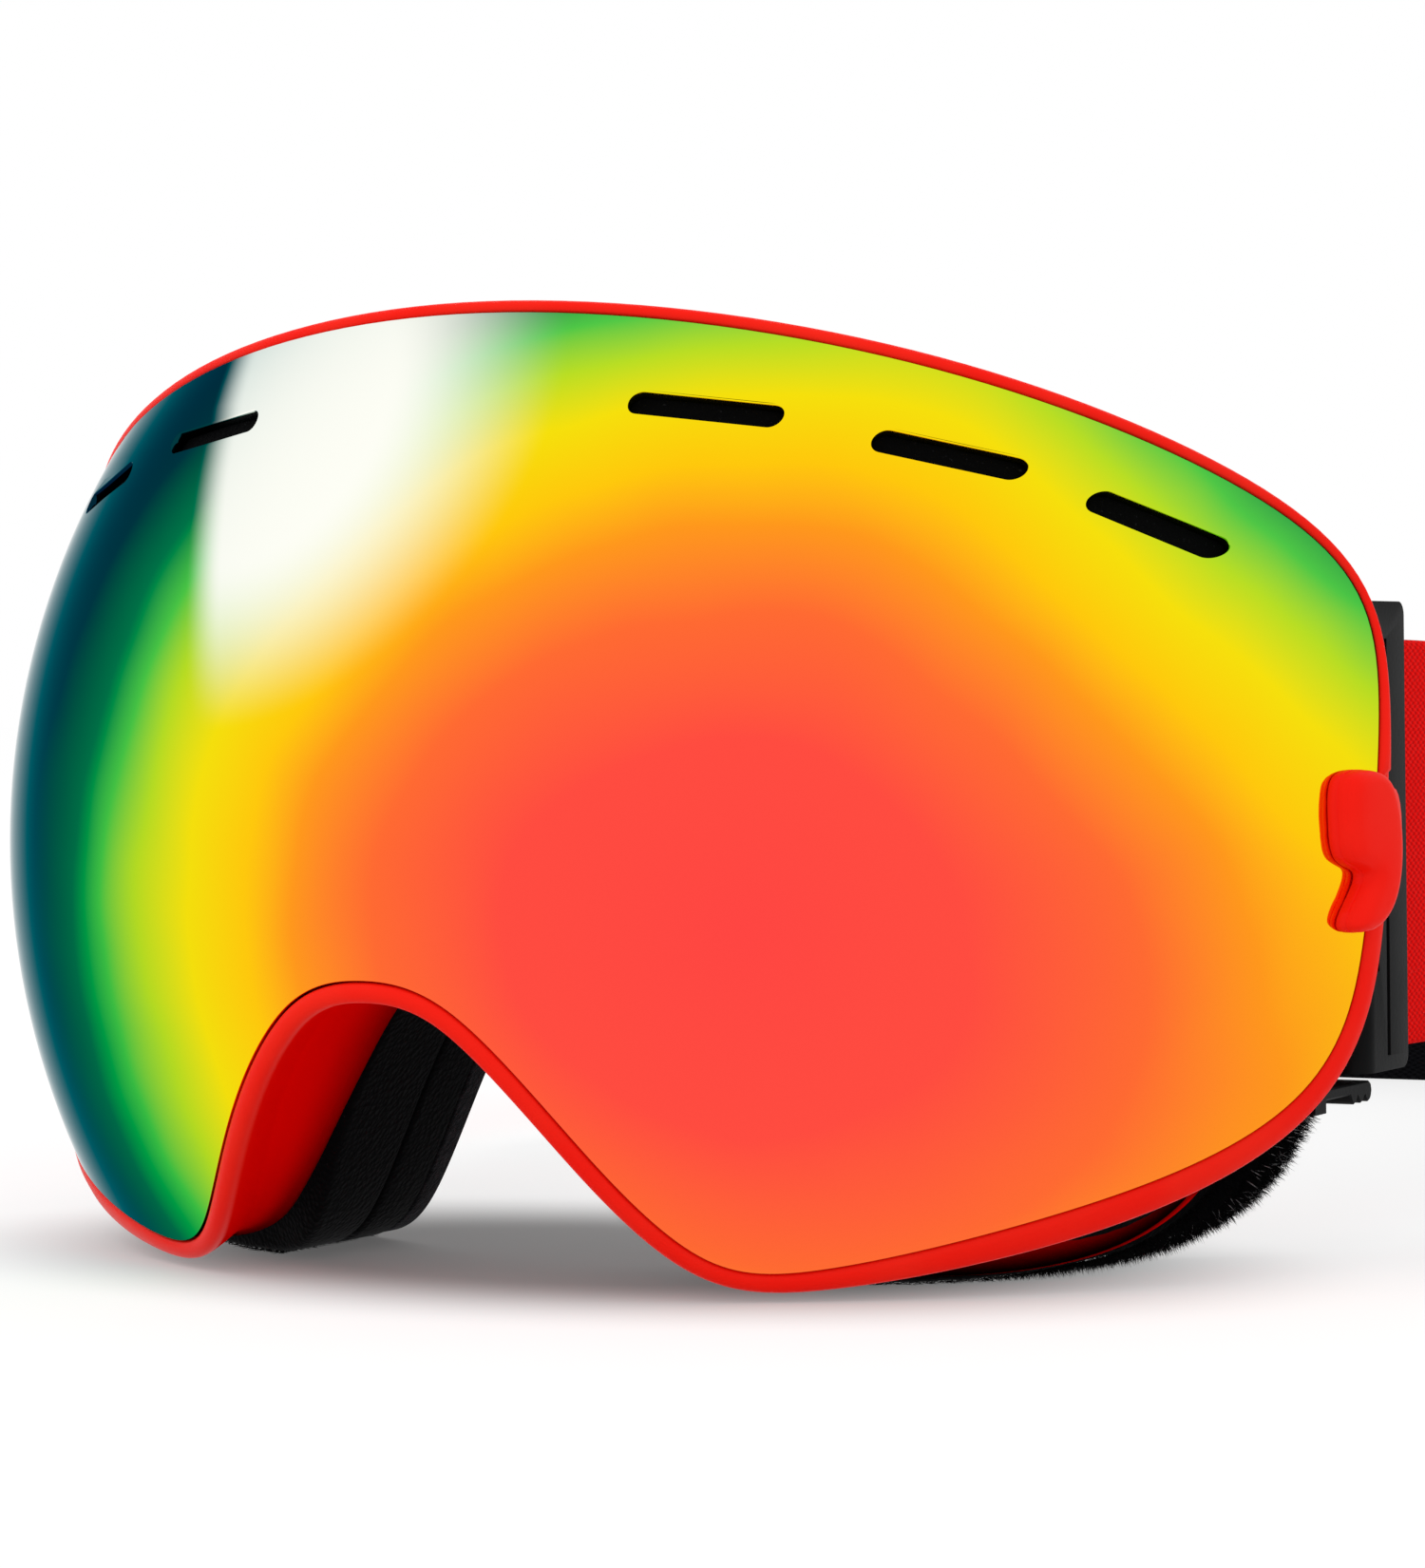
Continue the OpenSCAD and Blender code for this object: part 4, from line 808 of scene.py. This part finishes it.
def sleeve_points(half_w, half_h, wall, y0, y1):
    """A rectangular sleeve along Y: an outer and an inner loop at both ends, as four rows of a closed grid."""
    corner = np.array([(1, 1), (-1, 1), (-1, -1), (1, -1)], float)
    loops = [corner * [half_w + w, half_h + w] for w in (wall, wall, 0.0, 0.0)]
    return np.stack([np.column_stack([TAB_X + loop[:, 0], np.full(4, y), TAB_Z + loop[:, 1]])
                     for loop, y in zip(loops, (y0, y1, y1, y0 + 0.8))])


sleeve = sleeve_points(TAB_W / 2 + GUIDE_PLAY, TAB_T / 2 + GUIDE_PLAY, GUIDE_WALL, GUIDE_FROM, GUIDE_TO)
for s, name in SIDES:
    prism(f"tab_guide_{name}", sleeve, s, "frame", black_plastic)
print("guide length", round(GUIDE_TO - GUIDE_FROM, 2))

# %% [markdown]
# ## Hardware
# Outriggers, adjusters and pins are hard pieces whose CAD shape is right, so copies of them with rounded corners
# stand in for them: a moulded edge always has a radius, and it is what catches the light.

# %% Outriggers, adjusters and pins
for _, name in SIDES:
    arm = softened("outrigger_" + name, 0.3, "outrigger_" + name, black_plastic)
    softened("strap_slider_" + name, 0.35, "slider_" + name, black_plastic)
    for pin in ("outrigger_pin_", "latch_pin_"):
        softened(pin + name, 0.15, "frame", steel, 2)
print("outrigger faces before rounding", len(arm.data.polygons))

# %% [markdown]
# ## Latches
# A latch is a soft-edged cap that lies on the lens, shaped like a bird's head from the side, with an arm that goes
# round the rim to its pin. The cap is a height over the lens: it rises steeply at the outline, with a fine groove
# half way up, and then rounds off like a quarter circle, so the height depends only on the distance from the outline.

# %% Latch caps
LATCH_FOOT = np.array([85.5167, 63.1774])
LATCH_U, LATCH_V = np.array([0.306993, 0.951712]), np.array([0.955118, -0.296225])
LATCH_TIP_Y = LATCH_FOOT[1] - 8.6
LATCH_HEAD = np.array([(1.1, -1.2), (5.5, -1.5), (3.2, -4.9), (1.5, -8), (5.3, -8.3), (7.8, -6), (8.9, -2.3),
                       (9, 3.2), (8, 8.2), (4.6, 8.8), (1.3, 8.3), (1, 3.6)])
CAP_SIDE, CAP_TOP, CAP_ROUND = 1.7, 2.9, 1.6
head = spline(LATCH_HEAD, 14)[0]


def over_lens(flat, lift):
    """Points seen from the side, counted from the latch's tip, on a sphere that much above the lens."""
    y, z = LATCH_TIP_Y + flat[:, 0], flat[:, 1]
    return np.stack([np.sqrt((LENS_R + lift) ** 2 - (LENS_R - y) ** 2 - z**2), y, z], 1)


def latch_cap(name, s):
    """The cap's top is triangulated from its outline inwards; its side is a stack of outlines, grown and lifted."""
    insets = [(moved_out(head, -d), d) for d in (0.1, 0.25, 0.45, 0.7, 1.0, 1.3)]
    rounds = [loop[away_from(loop, head) > 0.95 * d] for loop, d in insets]
    points, triangles, (rim,) = filled([head], np.concatenate(rounds + [grid_inside([head], 0.8, 1.6)]))
    risen = np.clip(away_from(points, head) / CAP_ROUND, 0, 1)
    top = over_lens(points, CAP_SIDE + (CAP_TOP - CAP_SIDE) * np.sqrt(1 - (1 - risen) ** 2))
    side = [(0.0, 0.08), (0.08, 0.25), (0.08, 0.95), (-0.06, 1.02), (-0.06, 1.12), (0.04, 1.19), (0.02, 1.6)]
    walls = [over_lens(moved_out(head, grow), lift) for grow, lift in side]
    m = len(head)
    chain = [len(points) + m * k + np.arange(m) for k in range(len(walls))] + [rim]
    faces = triangles.tolist() + [chain[0].tolist()]
    for a, b in zip(chain, chain[1:]):
        faces += np.stack([a, np.roll(a, -1), np.roll(b, -1), b], 1).tolist()
    made = piece("latch_cap_" + name, np.concatenate([top] + walls) * [s, 1, 1], faces, "latch_" + name, red_plastic,
                 sharp=50.0)
    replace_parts(made, "latch_" + name)
    return made


print("points round a latch cap", len(head))

# %% [markdown]
# ### Latch arms
# The arm joins the cap to its pin. It is drawn from above and pushed up, and each layer is drawn in towards the
# middle by a cosine, so its top and bottom are rounded.

# %% Latch arms
ARM = np.array([(-1.8, 0.7), (0.7, 0.6), (2.3, -1.5), (2.6, -3.9), (4.1, -5.5), (5.8, -4), (4.9, -1.8), (2.8, 0.9),
                (1.0, 2.5), (-1.8, 2.4)])
ARM_Z, ARM_HALF = 2.75, 3.9


def latch_arm(name, s, n=11):
    """The arm's outline from above, a spline round the rim and the pin, drawn in towards both ends of its height."""
    loop = spline(ARM, 6)[0]
    t = np.linspace(-math.pi / 2, math.pi / 2, n)[:, None, None]
    drawn = loop.mean(0) + (loop - loop.mean(0)) * (0.6 + 0.4 * np.cos(t))
    flat = LATCH_FOOT + drawn[..., :1] * LATCH_U + drawn[..., 1:] * LATCH_V
    z = np.broadcast_to(ARM_Z + ARM_HALF * np.sin(t), flat[..., :1].shape)
    return prism("latch_arm_" + name, np.concatenate([flat, z], 2), s, "latch_" + name, red_plastic, sharp=60.0)


for s, name in SIDES:
    cap, arm = latch_cap(name, s), latch_arm(name, s)
print("latch faces", len(cap.data.polygons), len(arm.data.polygons))

# %% [markdown]
# ## Release tabs
# Under each outrigger a small black slide sticks out of the frame; three finger scallops hang from its free end. Its
# side view is a curve: a flat top that rounds down at the end, and bumps made of the root of a sine below.

# %% Release tabs
TAB_FRONT, TAB_END, TAB_LOW, TAB_HIGH, TAB_ROUND, TAB_OUT = 58.7708, 77.0, 0.25, 0.95, 0.9, 0.2
BUMP, BUMP_DEEP, BUMP_POWER = 2.0, 1.05, 0.55


def tab_side(n=96):
    """Side view, front to back along the bottom and back along the top: bumps are |sin| to a power below 1."""
    y = np.linspace(TAB_FRONT, TAB_END, n)
    count = (TAB_END - y) / BUMP
    bumps = np.where(count < 3, np.abs(np.sin(np.pi * count)) ** BUMP_POWER, 0.0)
    low = TAB_Z - TAB_LOW - BUMP_DEEP * bumps
    past = np.clip((y - TAB_END + TAB_ROUND) / TAB_ROUND, 0, 1)
    high = TAB_Z + TAB_HIGH - TAB_ROUND * (1 - np.sqrt(1 - past**2))
    return np.concatenate([np.stack([y, low], 1), np.stack([y, high], 1)[::-1]])


def release_tab(name, s, half=2.0, edge=0.18):
    """The side view pushed out along X, its edges drawn in a little at both faces."""
    rows = [np.insert(moved_out(tab_side(), -draw), 0, TAB_X + TAB_OUT + x, axis=1)
            for x, draw in ((-half, edge), (edge - half, 0.0), (half - edge, 0.0), (half, edge))]
    made = prism("release_slide_" + name, np.stack(rows), s, "release_" + name, black_plastic)
    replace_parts(made, "release_tab_" + name)
    return made


tabs = [release_tab(name, s) for s, name in SIDES]
print("tab faces", len(tabs[0].data.polygons))

# %% [markdown]
# ## Face foam
# Three layers lie behind the frame: a firm foam base, a softer foam, and a fleece that touches the face. Each is a
# ring with a rounded, slightly uneven section: the foam bulges where it is free and is flat where it is glued.

# %% Foam rings
def uneven(size, waves, seed):
    """A smooth closed wobble round the ring: a sum of sines with fixed, scattered phases."""
    turn = np.linspace(0, math.tau, RING, endpoint=False)[:, None]
    k = np.arange(1, waves + 1)
    phase = np.sin(12.9898 * (k + seed)) * 43.7585
    return size * (np.sin(turn * k * 3 + phase) / np.sqrt(k)).sum(1) / math.sqrt(waves)


def foam_point(share, y, swell):
    """Round the foam: share 0 is its outer edge and 1 its inner edge; swell moves it out of the ring."""
    flat = foam_edge + share * (foam_inner - foam_edge) + np.reshape(swell, (-1, 1)) * foam_out
    flat[:, 1] = np.maximum(flat[:, 1], 0.1 - LENS_TO_TABLE[2])
    return at_depth(flat, y)


def foam_ring(name, node, front, back, bulge, material, seed, n=28):
    """Section: a rounded box from share 0 to 1 of the foam's width and from front to back.
    A superellipse gives it its corners, and a sine along each free side its bulge."""
    a = np.linspace(0, math.tau, n, endpoint=False) + math.tau / n / 2
    power = 0.12
    across = 0.5 + 0.5 * np.sign(np.cos(a)) * np.abs(np.cos(a)) ** power
    deep = 0.5 + 0.5 * np.sign(np.sin(a)) * np.abs(np.sin(a)) ** power
    rows = []
    for k in range(n):
        free = math.sin(math.pi * deep[k])
        swell = (bulge * (1 - 0.6 * nose_share) + uneven(0.1, 9, seed + k * 0.02)) * free
        rows.append(foam_point(across[k], front + (back - front) * deep[k], -swell if across[k] > 0.5 else swell))
    made = piece(name, np.concatenate(rows), grid(n, RING, True, True)[0], "frame", material, sharp=None)
    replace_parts(made, node)
    return made


foam_ring("foam_base_ring", "face_foam_base", back_y + 0.1, face_y + 8.5, 0.6, foam_finish, 1.0)
foam_ring("foam_soft_ring", "face_foam_soft", face_y + 8.4, face_y + 16.8, 0.9, foam_finish, 2.0)
foam_ring("fleece_ring", "face_fleece", face_y + 16.7, face_y + 20.4, 0.5, fleece_finish, 3.0)
print("foam rings of", RING, "stations")

# %% [markdown]
# ## Fuzz
# The cut edge of the foam is covered in short fibres, which make its outline soft. Each fibre is a thin spike of four
# triangles with its foot on the foam; a seeded generator scatters them, so every run gives the same fuzz.

# %% Fibres on the foam's outer side
NOSE_X, LEAN, STEM, THIN, THICK = 34, 0.9, 0.25, 0.05, 0.09


def fuzz(name, start, end, bulge, count, length, pale, seed):
    """Spikes on the outer side between two depths: foot on the side, tip along its normal plus a random lean. A share
    of them is pale and thicker."""
    dice = np.random.default_rng(seed)
    i = dice.choice(np.flatnonzero((np.abs(foam_edge[:, 0]) > NOSE_X) | (foam_edge[:, 1] > 0)), count)
    share = dice.random((count, 1))
    deep = start + (end - start) * dice.random(count)
    flat = between(foam_edge[i], foam_edge[(i + 1) % RING], share) + bulge * foam_out[i]
    foot = at_depth(flat, between(face_y[i], face_y[(i + 1) % RING], share[:, 0]) + deep)
    out = at_depth(foam_out[i], 0.0)
    lean = unit(out + LEAN * dice.normal(size=(count, 3)))
    lean = np.where((lean * out).sum(1, keepdims=True) > 0.1, lean, out)
    tip = foot + STEM * out + lean * length * (0.35 + 0.65 * dice.random((count, 1)))
    side = unit(np.cross(lean, dice.normal(size=(count, 3))))
    other = np.cross(lean, side)
    light = dice.random((count, 1)) < pale
    thick = np.where(light, THICK, THIN)
    feet = [foot + thick * (math.cos(a) * side + math.sin(a) * other) for a in (0.0, math.tau / 3, 2 * math.tau / 3)]
    points = np.stack(feet + [tip], 1).reshape(-1, 3)
    points[:, 2] = np.maximum(points[:, 2], 0.05 - LENS_TO_TABLE[2])
    base = 4 * np.arange(count)[:, None]
    faces = np.concatenate([base + np.array(f) for f in ((0, 1, 3), (1, 2, 3), (2, 0, 3), (0, 2, 1))])
    return piece(name, points, faces, "frame", foam_finish, sharp=None, marks={"pale": np.repeat(light, 4)})


coats = [fuzz("foam_fuzz_front", 0.8, 8.2, 0.4, 30000, 1.5, 0.0, 11),
         fuzz("foam_fuzz_middle", 8.8, 16.6, 0.7, 40000, 1.6, 0.03, 12),
         fuzz("foam_fuzz_fleece", 17.0, 20.2, 0.3, 18000, 1.5, 0.16, 13)]
print("fibres", sum(len(coat.data.polygons) // 4 for coat in coats))

# %% [markdown]
# ## Filter foam
# A strip of open foam fills each vent window and keeps snow out. It sits a little below the wall's skin, and at each
# station it is as wide as the window.

# %% Filter foam in the vent windows
def window_plug(span, inset=0.02, n=15):
    """A cushion in one window: its section is a share of the way over the window and a depth under the wall."""
    i = np.linspace(span[0] + inset, span[1] - inset, n) * SPAN / 4
    low, part = np.floor(i).astype(int), (i - np.floor(i))[:, None]
    a, b, start, end = (between(ring[low % RING], ring[(low + 1) % RING], part)
                        for ring in (rim_back_ring, rail_ring, window_from, window_to))
    out = unit(np.cross(b - a, np.gradient(a, axis=0)))
    out *= np.sign((out * (a - INSIDE)).sum(1, keepdims=True))
    return np.stack([between(a, b, start + share * (end - start)) + depth * out for share, depth in PLUG_SECTION], 1)


INSIDE = np.array([0.0, 45.0, 5.0])
PLUG_SECTION = ((0.04, -2.0), (0.04, -1.0), (0.3, -0.75), (0.7, -0.75), (0.97, -0.9), (0.97, -2.0))
VENT_NODES = ("sill_vent_foam_left", "sill_vent_foam_right", "brow_vent_foam")
for k, span in enumerate(WINDOWS):
    made = prism(f"vent_plug_{k + 1}", window_plug(span), 1, "frame", foam_finish)
    if k < len(VENT_NODES):
        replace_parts(made, VENT_NODES[k])
print("window plugs", len(WINDOWS))

# %% [markdown]
# ## Strap
# The strap is sewn from one elastic band. It goes round a bar on each outrigger and comes back inside to an adjuster.
# It is made as a flat section with round edges, carried along a path, in pieces that part where the joints move.

# %% Strap paths
STRAP_W, STRAP_T, STRAP_X, TAIL_X = 44.6, 1.6, 77.4729, 73.0729
BAR, BAR_R = np.array([75.2729, 79.4376]), 1.4
START_Y, ARC_Y, RUN, HALF, DROP = 84.7411, 209.727, 124.986, 246.68, 22.0633
SLIDER_Y, SLIDER_BAR_X = 146.741, TAIL_X - STRAP_T / 2 - 0.1 - 1.3


def sink(s):
    """How far the band hangs lower after a length s: half a cosine, lowest behind the head."""
    return -DROP * (1 - np.cos(np.pi * np.clip(s, 0, 2 * HALF) / HALF)) / 2


def strap_path(s, inwards=0.0):
    """The long band: straight back from the left outrigger, half a circle behind the head, and forward again."""
    a = (s - RUN) / STRAP_X
    r = STRAP_X - inwards
    x = np.where(s < RUN, r, np.where(s > 2 * HALF - RUN, -r, r * np.cos(np.clip(a, 0, np.pi))))
    y = np.where(s < RUN, START_Y + s, np.where(s > 2 * HALF - RUN, START_Y + 2 * HALF - s,
                                                ARC_Y + r * np.sin(np.clip(a, 0, np.pi))))
    return np.stack([x, y, sink(s)], 1)


def band(name, path, s, body, across=None, width=STRAP_W, thick=STRAP_T, lift=0.0, material=strap_finish):
    """A flat section with half-round edges, carried along a path; UV in millimetres, and which face is outside."""
    way = unit(np.gradient(path, axis=0))
    if across is None:
        level = unit(np.stack([way[:, 1], -way[:, 0], np.zeros(len(way))], 1))
        across = np.cross(level, way)
    face = unit(np.cross(way, across))
    turn = np.linspace(0, math.pi, 9)
    half_w = (width - thick) / 2
    flat = np.linspace(1, -1, 13)[1:-1] * half_w
    v = np.concatenate([half_w + thick / 2 * np.sin(turn), flat, -half_w - thick / 2 * np.sin(turn), flat[::-1]])
    w = np.concatenate([-np.cos(turn), np.ones(11), np.cos(turn), -np.ones(11)]) * thick / 2
    points = path[:, None] + (lift + v)[None, :, None] * across[:, None] + w[None, :, None] * face[:, None]
    m, n = points.shape[:2]
    corners = grid(m, n, False, True)[1]
    gone = np.concatenate([[0], np.cumsum(np.linalg.norm(np.diff(path, axis=0), axis=1))])
    uv = np.stack([gone[corners[..., 0]], v[corners[..., 1] % n]], -1).reshape(-1, 2)
    ends = np.concatenate([np.column_stack([np.full(n, gone[k]), v]) for k in (0, -1)])
    return prism(name, points, s, body, material, sharp=60.0, uv=np.concatenate([uv, ends]),
                 marks={"outside": np.broadcast_to(w > 0.1, (m, n)).ravel()})


print("band from bar to bar", round(2 * HALF, 1))

# %% [markdown]
# ### Pieces of the strap
# The long band rides on the frame. A fold goes round each outrigger's bar, and an end goes round each adjuster's bar
# and is sewn back on itself. Where a joint moves the strap, the piece is left off any body and fixed in place. The
# paths run so that the red face stays on the same side of the cloth all the way round.

# %% Strap pieces
SPLIT, TAIL_CUT, LAP, BEND_FROM, BEND_TO = 48.0, 30.0, 16.0, 86.0, 112.0
stations = np.concatenate([np.linspace(SPLIT, RUN, 30)[:-1], np.linspace(RUN, 2 * HALF - RUN, 97)[:-1],
                           np.linspace(2 * HALF - RUN, 2 * HALF - SPLIT, 30)])
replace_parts(band("strap_round_head", strap_path(stations), 1, "frame"), "strap_band")


def tilt_across(y):
    """Across the band, square to its fall: the slope of sink, taken over two millimetres, turned by a quarter."""
    slope = np.arctan((sink(y - START_Y + 1) - sink(y - START_Y - 1)) / 2)
    return np.stack([np.zeros(len(y)), -np.sin(slope), np.cos(slope)], 1)


def leg(x, y, z):
    """A run of points; a single number holds for all of them."""
    return np.stack(np.broadcast_arrays(x, y, z), 1)


turn_r = BAR_R + STRAP_T / 2
for s, name in SIDES:
    out_run, in_run = np.linspace(SPLIT, 0.0, 40), np.linspace(0.0, TAIL_CUT, 26)
    gap = np.linspace(START_Y, BAR[1], 8)[1:-1]
    turn = np.linspace(0, -math.pi, 25)
    path = np.concatenate([leg(STRAP_X, START_Y + out_run, sink(out_run)), leg(STRAP_X, gap, 0.0),
                           leg(BAR[0] + turn_r * np.cos(turn), BAR[1] + turn_r * np.sin(turn), 0.0),
                           leg(TAIL_X, gap[::-1], 0.0), leg(TAIL_X, START_Y + in_run, sink(in_run))])[::-1]
    fold = band("strap_fold_" + name, path, s, None, tilt_across(np.maximum(path[:, 1], START_Y)))
    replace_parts(fold, "strap_loop_" + name)
    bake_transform(fold)
    y = np.linspace(START_Y + TAIL_CUT, SLIDER_Y, 30)[:-1]
    turn = np.linspace(0, math.pi, 25)
    lap = np.linspace(0, 1, 14)[1:]
    x = np.concatenate([np.full(29, TAIL_X), SLIDER_BAR_X + turn_r * np.cos(turn),
                        SLIDER_BAR_X - turn_r + (2 * turn_r - STRAP_T - 0.2) * ease(lap * 1.33)])
    y = np.concatenate([y, SLIDER_Y + turn_r * np.sin(turn), SLIDER_Y - LAP * lap])
    path = leg(x, y, sink(y - START_Y))
    tail = band("strap_end_" + name, path[::-1], s, None, tilt_across(np.minimum(y, SLIDER_Y))[::-1])
    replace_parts(tail, "strap_tail_" + name)
    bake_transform(tail)
print("strap faces", len(fold.data.polygons), len(tail.data.polygons))

# %% [markdown]
# ### Grip lines
# Three lines of silicone inside the back of the strap keep it from sliding on a helmet: narrow bands, laid on its
# inner face.

# %% Grip lines
GRIP_W, GRIP_T, GRIP_FROM = 2.2, 0.5, 9.37
beads = np.linspace(RUN + GRIP_FROM, 2 * HALF - RUN - GRIP_FROM, 90)
for k in range(3):
    made = band(f"grip_line_{k + 1}", strap_path(beads, (STRAP_T + GRIP_T) / 2 + 0.05), 1, "frame", None, GRIP_W,
                GRIP_T, STRAP_W / 4 * (k - 1), silicone)
    if k == 0:
        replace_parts(made, "grip_beads")
print("grip line length", round(beads[-1] - beads[0], 1))

# %% [markdown]
# ## Floor and light
# The goggles stand on a pale table in soft light. The sky is even and white, so that a colour comes out about as it
# is written, and two large lamps give the highlights their shape. The camera sees the floor glow, which makes it white;
# in an oval under the goggles it glows less, a painted shadow that is darker even where no real shadow falls, and
# their own shadow shows in it too.

# %% Stage
FLOOR_GREY, SEEN_GREY, SHADOW_GLOW, FLOOR_GLOW = ((g, g, g, 1) for g in (0.8, 0.36, 0.1, 0.7))
SHADOW_AT, SHADOW_SCALE = (0.0, 2.77, 0.0), (17.5, 28.6, 0.0)
floor_mesh = bpy.data.meshes.new("floor")
floor_mesh.from_pydata([(-6, -6, 0), (6, -6, 0), (6, 6, 0), (-6, 6, 0)], [], [(0, 1, 2, 3)])
floor = added("floor", floor_mesh)
floor_finish, shader, place = finish("floor", FLOOR_GREY, 0.9, Specular_IOR_Level=0.0, Emission_Strength=1.0)
direct, mirrored_ray, through = ray_kinds(place.tree, "Camera", "Glossy", "Transmission")
flat = place.node("ShaderNodeMapping", None, Vector=place, Location=SHADOW_AT, Scale=SHADOW_SCALE)
out_of = flat.node("ShaderNodeVectorMath", {"operation": "LENGTH"}, out=1, i0=flat)
# Painted shadow: the camera's glow of the floor drops to dark grey in an oval under the goggles
painted_glow = out_of.step(0.6, 1.6).mix(SHADOW_GLOW, FLOOR_GLOW)
feed(shader, "Base Color", direct.mix(FLOOR_GREY, SEEN_GREY))
feed(shader, "Emission Color", direct.mix((0, 0, 0, 1), painted_glow))
white = place.node("ShaderNodeEmission", None, Color=(1, 1, 1, 1), Strength=1.0)
mix_shaders(place, mirrored_ray.math("MAXIMUM", mirrored_ray, through), shader, white)
floor_mesh.materials.append(floor_finish)

world = bpy.data.worlds.new("studio")
bpy.context.scene.world = world
world.use_nodes = True
sky = next(n for n in world.node_tree.nodes if n.type == "BACKGROUND")
direct, mirrored_ray, through = ray_kinds(world.node_tree, "Camera", "Glossy", "Transmission")
seen = direct.math("MAXIMUM", direct.math("MAXIMUM", direct, mirrored_ray), through)
sky.inputs["Color"].default_value = (1, 1, 1, 1)
feed(sky, "Strength", 0.82 + 0.18 * seen)


def lamp(name, where, at, size, power):
    """A square soft lamp at a place, turned to a point; metres and watts."""
    data = bpy.data.lights.new(name, "AREA")
    data.size, data.energy = size, power
    made = added(name, data)
    made.location = where
    made.rotation_mode = "QUATERNION"
    made.rotation_quaternion = (Vector(at) - Vector(where)).to_track_quat("-Z", "Y")
    return made


LIT = (0, -0.1, 0.05)
for soft in (lamp("key", (-0.6, -1.2, 1.5), LIT, 1.4, 7.0), lamp("fill", (1.3, -0.9, 0.9), LIT, 1.2, 1.5)):
    soft.visible_glossy = False
bpy.context.scene.view_settings.view_transform = "Standard"
print("lamps", len(bpy.data.lights))
